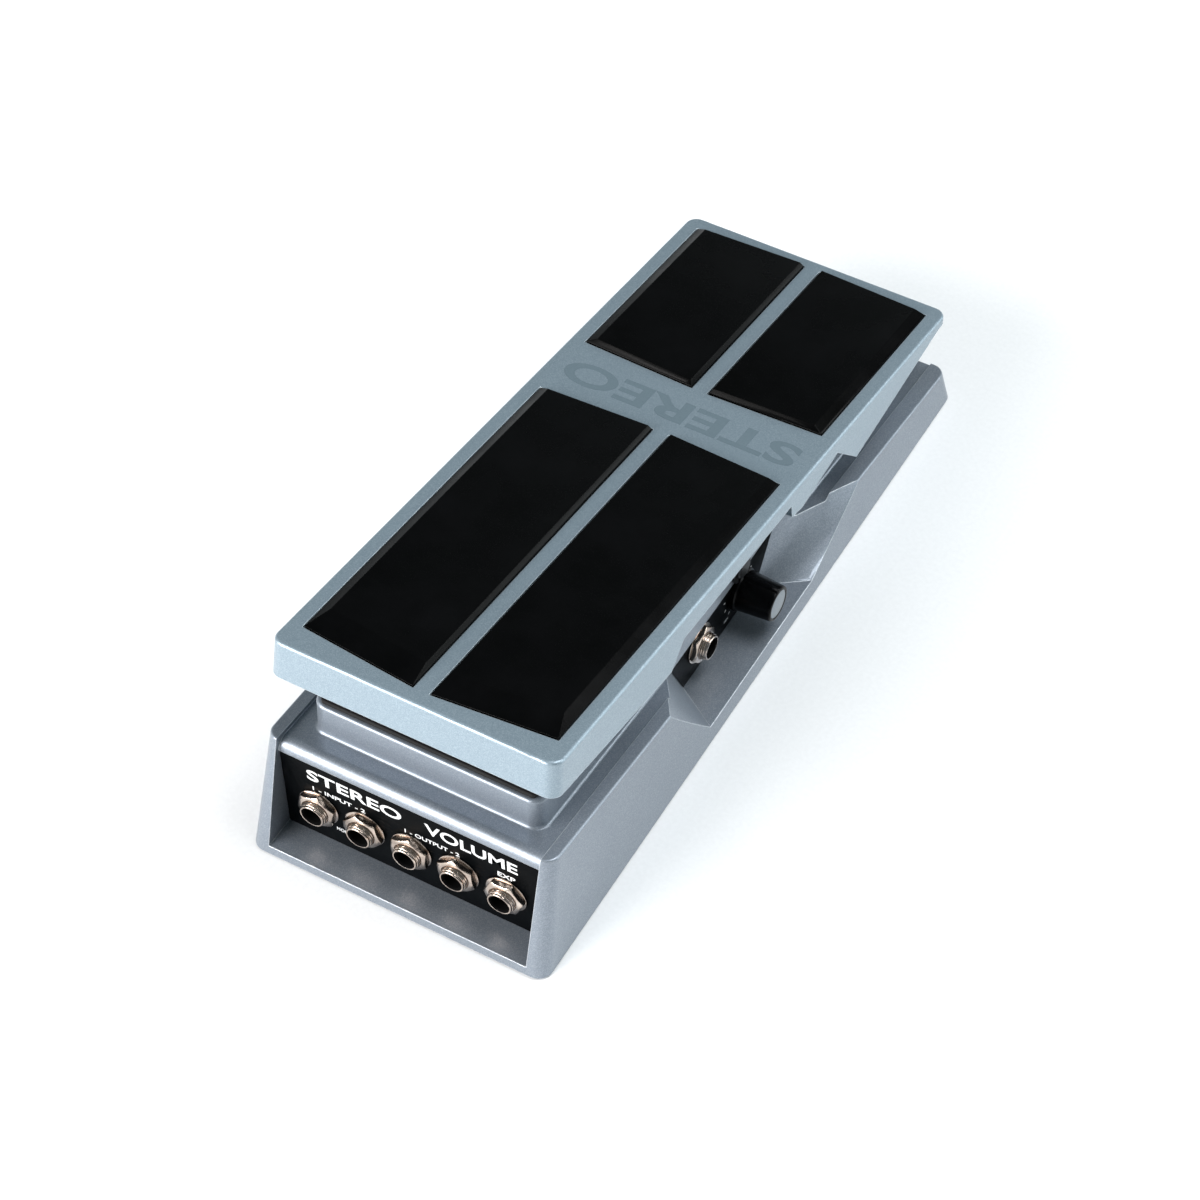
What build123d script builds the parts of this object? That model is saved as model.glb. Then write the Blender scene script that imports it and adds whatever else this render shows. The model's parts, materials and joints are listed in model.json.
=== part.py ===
from build123d import *
from math import acos, cos, pi, radians, sin, tan
import os

# Stereo volume pedal: a rocking treadle on a wedge-shaped base.
# Frame: millimetres, +Z up, origin at the bottom centre of the footprint.
# The toe end, with the jack row, points to -Y. The side with the knob is +X.
# The treadle is drawn heel down, which is its rest position.

os.makedirs("parts", exist_ok=True)

# ---------------------------------------------------------------- driving dimensions
base_width = 110.0
base_length = 289.0
base_corner = 5.0
side_draft = 0.062          # inward lean of the side walls, mm per mm of height
toe_draft = 0.269           # lean of the toe end face
heel_draft = 0.30           # lean of the heel end face
draft_top = 50.0            # height at which the drafted block is closed before trimming
casting_bottom = 0.6        # the casting's rim hangs just clear of the floor
wall = 2.8

rim_toe_y = -132.0          # the rim's top line starts here
rim_toe_z = 46.5
rim_slope = 0.1115          # fall of the rim towards the heel, mm per mm
shelf_drop = 1.8            # the shelf lies this much below the side rims
shelf_half = 47.8           # inner face of the side rims and of the toe ears

panel_y = -131.5            # front face of the jack panel
panel_thickness = 1.2
panel_top = 40.0
ledge_z = 3.6               # floor of the jack recess
housing_roll = 4.0          # rounded front top edge of the jack housing

tower_half = 41.7
tower_toe_y = -120.5        # at the roof
tower_toe_draft = 0.07      # the toe face leans back, mm per mm of height
tower_heel_y = 133.0
tower_corner = 5.0
tower_foot_fillet = 1.2     # where the tower's toe face and sides meet the shelf
roof_toe_z = 56.0
roof_pivot_z = 57.0
roof_heel_z = 35.5

pivot_y = 7.0
pivot_z = 38.0
shaft_r = 4.0
treadle_travel = 10.5       # degrees from heel down to toe down

treadle_toe_y = -124.5      # middle of the treadle's top toe edge
treadle_toe_z = 86.1
treadle_tilt = 9.75         # degrees, toe end high, at rest
treadle_width = 101.8
treadle_length = 272.0
treadle_corner = 4.5
treadle_plate = 3.2
skirt_wall = 2.6
skirt_flare = 0.028         # outward lean of the skirt, mm per mm of depth
skirt_depth = 24.0          # depth before the lower edge is trimmed

pad_inner = 3.3             # the pads lie between these distances from the centre line
pad_outer = 45.0
pad_pocket = 1.0
pad_height = 2.0            # pads stand this much above the treadle
pad_groove = 0.5            # gap round each pad in its pocket

jack_pitch = 17.3
jack_z = 19.5
jack_mouth_y = -136.5
jack_tube_r = 4.7
jack_bore_r = 3.2
jack_seat = 3.0             # depth of the tube's seat in the socket body
tail_reaches = (6.0, 15.0, 24.0)
jack_body = (15.6, 30.0, 14.0)
nut_flats = 12.7
nut_thickness = 2.2
washer_thickness = 0.7
washer_r = 7.4

side_panel_x = 38.8         # outer face of the black plate in the side trough
side_panel_thickness = 1.5
trough_floor = 8.0
trough_roof = 33.0          # top of the pocket that holds the side panel
side_control_z = 20.8
tuner_y = -15.6
tuner_mouth_x = 43.9
knob_y = 11.5
knob_tip_x = 54.2
knob_base_x = 39.6
knob_base_r = 7.8
knob_tip_r = 6.5
knob_cap_r = 5.2

sole_top = 2.0
plate_top = 3.5
groove_pitch = 4.0          # grooves between the sole's anti-slip ribs
groove_width = 1.4
groove_depth = 0.7
groove_count = 67
screw_r = 1.45              # M3 thread, drawn a hair under its pilot hole
screw_head_r = 2.8
screw_clear_r = 1.7         # hole that a screw passes freely
pilot_r = 1.5
gap = 0.02                  # between faces that touch
post_z = 12.5               # lower ends of the posts that carry the jack board
bracket_seat_z = 50.0       # lower ends of the posts that carry the pot bracket

control_thread_r = 3.5      # threaded neck of both potentiometers
control_shaft_r = 3.0
control_nut_flats = 10.0

gear_module = 0.8
pinion_teeth = 12
sector_full_teeth = 140     # teeth of the whole wheel that the sector is cut from
pressure_angle = 25.0
gear_backlash = 0.16
mesh_angle = 15.0           # the pinion lies this far below level, seen from the pivot
sector_x = (-18.0, -15.0)
lug_x = (18.0, 23.0)
boss_inner_x = 26.0

# ---------------------------------------------------------------- derived places
shelf_z_at = lambda y: rim_toe_z - rim_slope * (y - rim_toe_y) - shelf_drop
tilt = radians(treadle_tilt)
top_plane = Plane(
    origin=(0, treadle_toe_y, treadle_toe_z),
    x_dir=(1, 0, 0),
    z_dir=(0, sin(tilt), cos(tilt)),
)
side_plane = Plane(
    origin=(0, treadle_toe_y, treadle_toe_z),
    x_dir=(0, cos(tilt), -sin(tilt)),
    z_dir=(1, 0, 0),
)
side_rear_x = side_panel_x - side_panel_thickness
pinion_r = gear_module * pinion_teeth / 2
sector_r = gear_module * sector_full_teeth / 2
pot_reach = pinion_r + sector_r
pot_y = pivot_y - pot_reach * cos(radians(mesh_angle))
pot_z = pivot_z - pot_reach * sin(radians(mesh_angle))
jack_xs = [jack_pitch * step for step in (-2, -1, 0, 1, 2)]
screw_spots = [(x, y) for y in (-118, -72, 88, 128) for x in (-46.6, 46.6)]
board_screw_spots = [(-38.0, -92.0), (36.0, -92.0)]
bracket_screw_spots = [(-4.0, pot_y - 8.0), (-4.0, pot_y + 8.0)]
sector_screw_spots = [(-4.5, 14.0), (4.5, 13.2)]      # y and z from the pivot
plate_size = (101.0, 266.0)
plate_middle_y = 7.0


def finish(builder, label):
    """Label a finished piece and write its STEP file."""
    builder.part.label = label
    export_step(builder.part, f"parts/{label}.step")


def along_x(y, z, x=0.0):
    """Plane across the pedal: its normal is +X, its origin is (x, y, z)."""
    return Plane(origin=(x, y, z), x_dir=(0, 1, 0), z_dir=(1, 0, 0))


def facing_toe(x, y, z):
    """Plane facing the toe end: its normal is -Y, its local x is +X."""
    return Plane(origin=(x, y, z), x_dir=(1, 0, 0), z_dir=(0, -1, 0))


# ---------------------------------------------------------------- side trough, as a cutter
def trough_outline(inner_x, z, grow):
    """Corners of the trough's outline at height z, inner toe corner first.

    Each end is a ruled facet: its slope across the pedal changes with height,
    so the outline is worked out from two level lines at each end.
    """
    outer_x = 60.0
    toe_low = lambda x: -26.0 - 0.629 * (x - 38.8)
    toe_high = lambda x: -40.1 - 1.338 * (x - 38.8)
    heel_low = lambda x: 25.0 + 0.696 * (x - 38.8)
    heel_high = lambda x: 35.7 + 2.564 * (x - 38.8)
    up_toe = (z - 8.0) / (37.4 - 8.0)
    up_heel = (z - 8.0) / (24.5 - 8.0)
    toe = lambda x: toe_low(x) + (toe_high(x) - toe_low(x)) * up_toe - grow
    heel = lambda x: heel_low(x) + (heel_high(x) - heel_low(x)) * up_heel + grow
    return [
        (inner_x, toe(inner_x)),
        (outer_x, toe(outer_x)),
        (outer_x, heel(outer_x)),
        (inner_x, heel(inner_x)),
    ]


def trough_cutter(grow):
    """The trough as a solid, grown by a wall thickness for the cavity behind it."""
    inner_x = side_panel_x - side_panel_thickness - grow
    with BuildPart() as cutter:
        for height in (trough_floor - grow, 60.0):
            with BuildSketch(Plane.XY.offset(height)):
                with BuildLine():
                    Polyline(*trough_outline(inner_x, height, grow), close=True)
                make_face()
        loft(ruled=True)
        with BuildSketch(Plane.XY.offset(trough_roof + grow)):
            Rectangle(2 * tower_half, 500)
        extrude(amount=100, mode=Mode.SUBTRACT)
    return cutter.part


trough = trough_cutter(0.0)
trough_wall = trough_cutter(2.4)


# ---------------------------------------------------------------- base casting
def drafted_block(bottom, inset):
    """The wedge's outer block, drafted on all sides, moved inwards by inset."""
    with BuildPart() as block:
        for height in (bottom, draft_top):
            toe_y = -base_length / 2 + toe_draft * height + inset
            heel_y = base_length / 2 - heel_draft * height - inset
            half = base_width / 2 - side_draft * height - inset
            with BuildSketch(Plane.XY.offset(height)):
                with Locations((0, (toe_y + heel_y) / 2)):
                    RectangleRounded(2 * half, heel_y - toe_y, base_corner)
        loft(ruled=True)
    return block.part


def tower_block(inset, foot_z):
    """The raised inner block under the treadle, with its two-slope roof."""
    toe_foot_y = tower_toe_y - tower_toe_draft * (roof_toe_z - inset - foot_z)
    with BuildPart() as block:
        with BuildSketch(Plane.YZ):
            with BuildLine():
                Polyline(
                    (toe_foot_y + inset, foot_z),
                    (tower_toe_y + inset, roof_toe_z - inset),
                    (pivot_y, roof_pivot_z - inset),
                    (tower_heel_y - inset, roof_heel_z - inset),
                    (tower_heel_y - inset, foot_z),
                    close=True,
                )
            make_face()
        extrude(amount=tower_half - inset, both=True)
        corners = block.edges().filter_by(
            lambda edge: abs(abs(edge.center().X) - (tower_half - inset)) < 0.01
            and abs(edge.tangent_at(0.5).Z) > 0.9
        )
        fillet(corners, max(tower_corner - inset, 1.5))
        if inset == 0:
            roof = block.edges().filter_by(
                lambda edge: edge.center().Z > shelf_z_at(edge.center().Y) + 12
            )
            rim = [
                edge
                for edge in roof
                if edge.geom_type != GeomType.LINE or abs(edge.tangent_at(0.5).Z) < 0.5
            ]
            outer = [edge for edge in rim if abs(edge.center().X) > 1 or abs(edge.center().Y - pivot_y) > 20]
            fillet(outer, 1.2)
    return block.part


outer_block = drafted_block(casting_bottom, 0.0)
cavity_block = drafted_block(0.0, wall)
tower = tower_block(0.0, 8.0)
tower_cavity = tower_block(wall, -5.0)

with BuildPart() as casting_cavity:
    add(cavity_block)
    with BuildSketch(Plane.YZ):
        with BuildLine():
            Polyline(
                (-200, shelf_z_at(-200) - wall),
                (200, shelf_z_at(200) - wall),
                (200, 90),
                (-200, 90),
                close=True,
            )
        make_face()
    extrude(amount=80, both=True, mode=Mode.SUBTRACT)
    add(tower_cavity)
    with BuildSketch(Plane.YZ):
        with BuildLine():
            front_wall = panel_y + panel_thickness + 2.4
            Polyline((-200, -10), (front_wall, -10), (front_wall, 90), (-200, 90), close=True)
        make_face()
    extrude(amount=80, both=True, mode=Mode.SUBTRACT)
    add(trough_wall, mode=Mode.SUBTRACT)

with BuildPart() as base_casting:
    add(outer_block)
    # trim to the falling rim line, then sink the shelf between the rims
    for half, drop in ((80, 0.0), (shelf_half, shelf_drop)):
        with BuildSketch(Plane.YZ):
            with BuildLine():
                low = lambda y: shelf_z_at(y) + shelf_drop - drop
                Polyline((-200, low(-200)), (200, low(200)), (200, 120), (-200, 120), close=True)
            make_face()
        extrude(amount=half, both=True, mode=Mode.SUBTRACT)
    # jack recess between the two toe ears, with a seat for the panel
    with BuildSketch(Plane.YZ):
        with BuildLine():
            seat_y = panel_y + panel_thickness
            Polyline(
                (-200, ledge_z),
                (seat_y, ledge_z),
                (seat_y, panel_top),
                (panel_y, panel_top),
                (panel_y, 120),
                (-200, 120),
                close=True,
            )
        make_face()
    extrude(amount=shelf_half, both=True, mode=Mode.SUBTRACT)
    roll_edge = [
        edge
        for edge in base_casting.edges().filter_by(Axis.X)
        if abs(edge.center().Y - panel_y) < 0.2 and edge.center().Z > panel_top + 2
    ]
    fillet(roll_edge, housing_roll)
    rim_edges = [
        edge
        for edge in base_casting.edges()
        if abs(abs(edge.center().X) - (base_width / 2 - side_draft * edge.center().Z)) < 0.4
        and abs(edge.center().Z - shelf_z_at(edge.center().Y) - shelf_drop) < 0.3
        and edge.length > 200
    ]
    fillet(rim_edges, 0.8)
    add(tower)
    foot_edges = [
        edge
        for edge in base_casting.edges()
        if abs(edge.center().Z - shelf_z_at(edge.center().Y)) < 0.2
        and abs(edge.center().X) < tower_half + 0.1
        and edge.center().Y > tower_toe_y - 2.0
        and edge.center().Y < tower_heel_y + 0.1
    ]
    fillet(foot_edges, tower_foot_fillet)
    add(casting_cavity.part, mode=Mode.SUBTRACT)
    # bosses inside: bottom screws, jack board, pot bracket, pivot shaft
    for x, y in screw_spots:
        with BuildSketch(Plane.XY.offset(plate_top)):
            with Locations((x, y)):
                Circle(3.5)
        extrude(amount=shelf_z_at(y) - plate_top - 1.0)
    with BuildSketch(Plane.XY.offset(post_z)):
        with Locations(*board_screw_spots):
            Circle(3.2)
    extrude(amount=roof_toe_z - post_z - 1.0)
    with BuildSketch(Plane.XY.offset(bracket_seat_z)):
        with Locations(*bracket_screw_spots):
            Circle(3.5)
    extrude(amount=roof_toe_z - bracket_seat_z - 1.0)
    for side in (-1, 1):
        with BuildSketch(along_x(pivot_y, pivot_z, side * boss_inner_x)):
            Circle(7.4)
        extrude(amount=side * (tower_half - 1.0 - boss_inner_x))
    add(trough, mode=Mode.SUBTRACT)
    # openings: roof slot for the treadle's lugs, jack window, side window
    with BuildSketch(Plane.XY.offset(48)):
        with Locations((0, pivot_y)):
            RectangleRounded(52, 44, 3)
    extrude(amount=20, mode=Mode.SUBTRACT)
    with BuildSketch(facing_toe(0, panel_y - 5, (9.0 + 33.0) / 2)):
        RectangleRounded(88, 24, 2)
    extrude(amount=-12, mode=Mode.SUBTRACT)
    with BuildSketch(along_x(-1.25, 20.0, 30.0)):
        RectangleRounded(46.5, 20, 2)
    extrude(amount=10, mode=Mode.SUBTRACT)
    # seats for the rubber sole and the bottom plate
    with BuildSketch(Plane.XY):
        RectangleRounded(base_width - 6, base_length - 6, 4)
    extrude(amount=sole_top, mode=Mode.SUBTRACT)
    with BuildSketch(Plane.XY):
        with Locations((0, plate_middle_y)):
            RectangleRounded(*plate_size, 3)
    extrude(amount=plate_top, mode=Mode.SUBTRACT)
    # holes
    with Locations((0, pivot_y, pivot_z)):
        Cylinder(shaft_r, 200, rotation=(0, 90, 0), mode=Mode.SUBTRACT)
    for x, y in screw_spots:
        with Locations((x, y, plate_top + 3.5)):
            Cylinder(pilot_r, 7.0, mode=Mode.SUBTRACT)
    with Locations(*[(x, y, post_z + 4.0) for x, y in board_screw_spots]):
        Cylinder(pilot_r, 8.0, mode=Mode.SUBTRACT)
    with Locations(*[(x, y, bracket_seat_z + 2.5) for x, y in bracket_screw_spots]):
        Cylinder(pilot_r, 5.0, mode=Mode.SUBTRACT)
finish(base_casting, "base_casting")

# ---------------------------------------------------------------- underside
with BuildPart() as bottom_plate:
    with BuildSketch(Plane.XY.offset(sole_top)):
        with Locations((0, plate_middle_y)):
            RectangleRounded(plate_size[0] - 0.6, plate_size[1] - 0.6, 2.8)
        with Locations(*screw_spots):
            Circle(screw_clear_r, mode=Mode.SUBTRACT)
    extrude(amount=plate_top - sole_top - gap)
finish(bottom_plate, "bottom_plate")

with BuildPart() as rubber_sole:
    with BuildSketch(Plane.XY):
        RectangleRounded(base_width - 6.6, base_length - 6.6, 3.8)
        with Locations(*screw_spots):
            Circle(4.2, mode=Mode.SUBTRACT)
    extrude(amount=sole_top - gap)
    fillet(rubber_sole.faces().sort_by(Axis.Z)[0].outer_wire().edges(), 0.5)
    # anti-slip ribs: the grooves between them run across the sole
    with BuildSketch(Plane.XY):
        with GridLocations(0, groove_pitch, 1, groove_count):
            Rectangle(base_width - 18.0, groove_width)
    extrude(amount=groove_depth, mode=Mode.SUBTRACT)
finish(rubber_sole, "rubber_sole")

with BuildPart() as bottom_screws:
    for x, y in screw_spots:
        with BuildSketch(Plane.XY.offset(0.5)):
            with Locations((x, y)):
                Circle(screw_head_r)
        extrude(amount=sole_top - 0.5 - gap)
        with BuildSketch(Plane.XY.offset(sole_top - 0.1)):
            with Locations((x, y)):
                Circle(screw_r)
        extrude(amount=plate_top + 6.0 - sole_top)
        with BuildSketch(Plane.XY.offset(0.5)):
            with Locations((x, y)):
                Rectangle(3.2, 0.6)
                Rectangle(0.6, 3.2)
        extrude(amount=0.7, mode=Mode.SUBTRACT)
finish(bottom_screws, "bottom_screws")

# ---------------------------------------------------------------- jack row
with BuildPart() as jack_panel:
    with BuildSketch(facing_toe(0, panel_y + panel_thickness - 0.02, 0)):
        with Locations((0, (ledge_z + panel_top) / 2)):
            RectangleRounded(2 * shelf_half - 0.4, panel_top - ledge_z - 0.3, 0.8)
        with Locations(*[(x, jack_z) for x in jack_xs]):
            Circle(jack_tube_r + 0.15, mode=Mode.SUBTRACT)
    extrude(amount=panel_thickness - 0.02)
finish(jack_panel, "jack_panel")


def jack_body_behind(face, label):
    """Moulded socket body: face is the panel's rear plane, looking outwards."""
    width, depth, height = jack_body
    with BuildPart() as socket:
        with BuildSketch(face):
            Rectangle(width, height)
        extrude(amount=-depth)
        chamfer(socket.edges().filter_by(Axis.Z), 0.8)
        with BuildSketch(face):
            Circle(jack_bore_r + 0.2)
        extrude(amount=-(depth - 3.5), mode=Mode.SUBTRACT)
        with BuildSketch(face):
            Circle(jack_tube_r + 0.02)
        extrude(amount=-jack_seat, mode=Mode.SUBTRACT)
        # solder tails under the body
        for reach in tail_reaches:
            spot = face.offset(-reach)
            with BuildSketch(Plane(origin=spot.origin - Vector(0, 0, height / 2 - 0.05), x_dir=face.x_dir)):
                Rectangle(1.6, 0.9)
            extrude(amount=-2.6)
    finish(socket, label)


def jack_tube(faces, reach, label):
    """Threaded tubes that pass through a panel and clamp the sockets behind it."""
    with BuildPart() as tubes:
        for face in faces:
            start = face.offset(-jack_seat + 0.02)
            length = reach + jack_seat - 0.02
            with BuildSketch(start):
                Circle(jack_tube_r)
                Circle(jack_bore_r, mode=Mode.SUBTRACT)
            extrude(amount=length)
            mouth = face.offset(reach).origin
            rims = [
                edge
                for edge in tubes.edges().filter_by(GeomType.CIRCLE)
                if (edge.arc_center - mouth).length < 0.01
            ]
            chamfer(rims, 0.35)
    finish(tubes, label)


def hex_nut(planes, label, flats=nut_flats, bore=jack_tube_r + 0.05, thickness=nut_thickness):
    """Hexagon nuts, one on each plane, with their outer corners rounded off."""
    with BuildPart() as nuts:
        for plane in planes:
            with BuildSketch(plane):
                RegularPolygon(flats / 2, 6, major_radius=False, rotation=12)
                Circle(bore, mode=Mode.SUBTRACT)
            extrude(amount=thickness)
    finish(nuts, label)


def washer(planes, label, outer=washer_r, bore=jack_tube_r + 0.05, thickness=washer_thickness):
    """Flat washers, one on each plane."""
    with BuildPart() as rings:
        for plane in planes:
            with BuildSketch(plane):
                Circle(outer)
                Circle(bore, mode=Mode.SUBTRACT)
            extrude(amount=thickness)
    finish(rings, label)


jack_names = ["input_jack_1", "input_jack_2", "output_jack_1", "output_jack_2", "exp_jack"]
jack_rear_y = panel_y + panel_thickness
for label, x in zip(jack_names, jack_xs):
    jack_body_behind(facing_toe(x, jack_rear_y, jack_z), label)
jack_tube([facing_toe(x, jack_rear_y, jack_z) for x in jack_xs], jack_rear_y - jack_mouth_y, "jack_bushings")
washer([facing_toe(x, panel_y - 0.02, jack_z) for x in jack_xs], "jack_washers")
hex_nut([facing_toe(x, panel_y - washer_thickness - 0.04, jack_z) for x in jack_xs], "jack_nuts")

board_z = jack_z - jack_body[2] / 2
with BuildPart() as jack_board:
    with BuildSketch(Plane.XY.offset(board_z - 1.62)):
        with Locations((-1.0, (-126.0 - 86.0) / 2)):
            Rectangle(82, 40)
        with Locations(*board_screw_spots):
            Circle(screw_clear_r, mode=Mode.SUBTRACT)
        for x in jack_xs:
            for reach in tail_reaches:
                with Locations((x, jack_rear_y + reach)):
                    Rectangle(2.2, 1.5, mode=Mode.SUBTRACT)
    extrude(amount=1.6)
finish(jack_board, "jack_board")

with BuildPart() as board_screws:
    for spot in board_screw_spots:
        with BuildSketch(Plane.XY.offset(board_z - 1.64)):
            with Locations(spot):
                Circle(screw_head_r)
        extrude(amount=-1.8)
        with BuildSketch(Plane.XY.offset(board_z - 1.7)):
            with Locations(spot):
                Circle(screw_r)
        extrude(amount=8.0)
finish(board_screws, "board_screws")

# ---------------------------------------------------------------- side panel, tuner socket, level control
with BuildPart() as side_panel:
    # its edges follow the trough's end facets, so front and rear outlines differ
    for x in (side_rear_x + 0.02, side_panel_x):
        low = trough_outline(x, trough_floor + 0.2, -0.25)
        high = trough_outline(x, trough_roof - 0.2, -0.25)
        with BuildSketch(along_x(0, 0, x)):
            with BuildLine():
                Polyline(
                    (low[0][1], trough_floor + 0.2),
                    (low[3][1], trough_floor + 0.2),
                    (high[3][1], trough_roof - 0.2),
                    (high[0][1], trough_roof - 0.2),
                    close=True,
                )
            make_face()
    loft(ruled=True)
    with BuildSketch(along_x(0, side_control_z, side_rear_x - 1)):
        with Locations((tuner_y, 0)):
            Circle(jack_tube_r + 0.15)
        with Locations((knob_y, 0)):
            Circle(3.65)
    extrude(amount=5, mode=Mode.SUBTRACT)
finish(side_panel, "side_panel")

jack_body_behind(along_x(tuner_y, side_control_z, side_rear_x), "tuner_jack")
jack_tube([along_x(tuner_y, side_control_z, side_rear_x)], tuner_mouth_x - side_rear_x, "tuner_jack_bushing")
washer([along_x(tuner_y, side_control_z, side_panel_x + 0.02)], "tuner_jack_washer")
hex_nut(
    [along_x(tuner_y, side_control_z, side_panel_x + washer_thickness + 0.04)],
    "tuner_jack_nut",
    thickness=1.9,
)

with BuildPart() as min_volume_pot:
    with BuildSketch(along_x(knob_y, side_control_z, side_rear_x)):
        Circle(8.0)
    extrude(amount=-8.5)
    with BuildSketch(along_x(knob_y, side_control_z, side_rear_x)):
        Circle(control_thread_r)
    extrude(amount=side_panel_thickness + 2.6)
    with BuildSketch(along_x(knob_y, side_control_z, side_rear_x - 7.0)):
        Circle(control_shaft_r + 0.06)
    extrude(amount=20, mode=Mode.SUBTRACT)
finish(min_volume_pot, "min_volume_pot")
hex_nut(
    [along_x(knob_y, side_control_z, side_panel_x + 0.02)],
    "min_volume_pot_nut",
    flats=control_nut_flats,
    bore=control_thread_r + 0.05,
    thickness=1.9,
)

with BuildPart() as min_volume_shaft:
    with BuildSketch(along_x(knob_y, side_control_z, side_rear_x - 6.0)):
        Circle(control_shaft_r)
    extrude(amount=knob_tip_x - 3.6 - side_rear_x + 6.0)
finish(min_volume_shaft, "min_volume_shaft")

with BuildPart() as min_volume_knob:
    with BuildSketch(along_x(knob_y, side_control_z, knob_base_x)):
        Circle(knob_base_r)
    extrude(amount=1.6)
    with BuildSketch(along_x(knob_y, side_control_z, knob_base_x + 1.6)):
        Circle(knob_base_r - 0.4)
    with BuildSketch(along_x(knob_y, side_control_z, knob_tip_x)):
        Circle(knob_tip_r)
    loft(ruled=True)
    tip = [e for e in min_volume_knob.edges().filter_by(GeomType.CIRCLE) if e.center().X > knob_tip_x - 0.1]
    fillet(tip, 0.7)
    with BuildSketch(along_x(knob_y, side_control_z, knob_base_x - 0.1)):
        Circle(control_shaft_r)
    extrude(amount=knob_tip_x - 3.5 - knob_base_x, mode=Mode.SUBTRACT)
    with BuildSketch(along_x(knob_y, side_control_z, knob_base_x - 0.1)):
        Circle(6.2)
    extrude(amount=2.6, mode=Mode.SUBTRACT)
    with BuildSketch(along_x(knob_y, side_control_z, knob_tip_x - 0.8)):
        Circle(knob_cap_r)
    extrude(amount=2, mode=Mode.SUBTRACT)
    # raised pointer rib along the top of the taper
    rib_z = side_control_z + (knob_base_r + knob_tip_r) / 2 - 0.1
    with BuildSketch(along_x(knob_y, rib_z, knob_base_x + 1.6)):
        Rectangle(1.0, 1.3)
    extrude(amount=knob_tip_x - knob_base_x - 2.8)
finish(min_volume_knob, "min_volume_knob")

with BuildPart() as knob_cap:
    with BuildSketch(along_x(knob_y, side_control_z, knob_tip_x - 0.78)):
        Circle(knob_cap_r - 0.02)
    extrude(amount=0.85)
    chamfer(knob_cap.faces().sort_by(Axis.X)[-1].edges(), 0.25)
finish(knob_cap, "knob_cap")

with BuildPart() as side_board:
    with BuildSketch(along_x(0, 0, side_rear_x - 10.3)):
        with Locations((knob_y + 2.0, side_control_z - 1.5)):
            Rectangle(24, 20)
    extrude(amount=1.6)
finish(side_board, "side_board")

# ---------------------------------------------------------------- pivot
with BuildPart() as pivot_shaft:
    with BuildSketch(along_x(pivot_y, pivot_z, -(tower_half + 2.2))):
        Circle(shaft_r)
    extrude(amount=2 * (tower_half + 2.2))
    chamfer(pivot_shaft.edges().filter_by(GeomType.CIRCLE), 0.5)
    for side in (-1, 1):
        with BuildSketch(along_x(pivot_y, pivot_z, side * (tower_half + 0.25))):
            Circle(shaft_r + 0.5)
            Circle(shaft_r - 0.7, mode=Mode.SUBTRACT)
        extrude(amount=side * 0.85, mode=Mode.SUBTRACT)
finish(pivot_shaft, "pivot_shaft")

with BuildPart() as shaft_clips:
    for side in (-1, 1):
        with BuildSketch(along_x(pivot_y, pivot_z, side * (tower_half + 0.3))):
            Circle(6.0)
            Circle(shaft_r - 0.65, mode=Mode.SUBTRACT)
            with Locations((0, -5)):
                Rectangle(5.0, 6.0, mode=Mode.SUBTRACT)
        extrude(amount=side * 0.75)
finish(shaft_clips, "shaft_clips")

with BuildPart() as friction_washers:
    for side in (-1, 1):
        with BuildSketch(along_x(pivot_y, pivot_z, side * (lug_x[1] + 1.2))):
            Circle(7.2)
            Circle(shaft_r + gap, mode=Mode.SUBTRACT)
        extrude(amount=side * (boss_inner_x - lug_x[1] - 1.2 - gap))
finish(friction_washers, "friction_washers")

# ---------------------------------------------------------------- treadle casting
edge_line = [
    (-6.0, -14.0),
    (0.0, -14.0),
    (72.2, -17.1),
    (79.2, -8.5),
    (152.8, -5.8),
    (154.2, -11.3),
    (161.4, -12.2),
    (186.6, -6.0),
    (203.4, -18.9),
    (265.5, -3.4),
    (278.0, -3.2),
]


def local_to_world(s, h):
    """World (y, z) of a point s along the treadle and h above its top face."""
    return (
        treadle_toe_y + s * cos(tilt) + h * sin(tilt),
        treadle_toe_z - s * sin(tilt) + h * cos(tilt),
    )


def pad_corners(shape, side, grow=0.0, near_cut=0.0, outer_cut=0.0, cut=0.0):
    """Outline of one pad on the treadle: x across, s along; its ends slant to the side."""
    near_inner, near_outer, far_inner, far_outer = shape
    inner_x = side * (pad_inner - grow + cut)
    outer_x = side * (pad_outer + grow - outer_cut)
    return [
        (inner_x, near_inner - grow + near_cut),
        (outer_x, near_outer - grow + near_cut),
        (outer_x, far_outer + grow - cut),
        (inner_x, far_inner + grow - cut),
    ]


# distances along the treadle of each pad's near and far end, at its inner and its outer side
toe_pad = (6.2, 10.6, 155.5, 153.7)
heel_pad = (183.1, 184.9, 266.7, 265.1)

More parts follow.
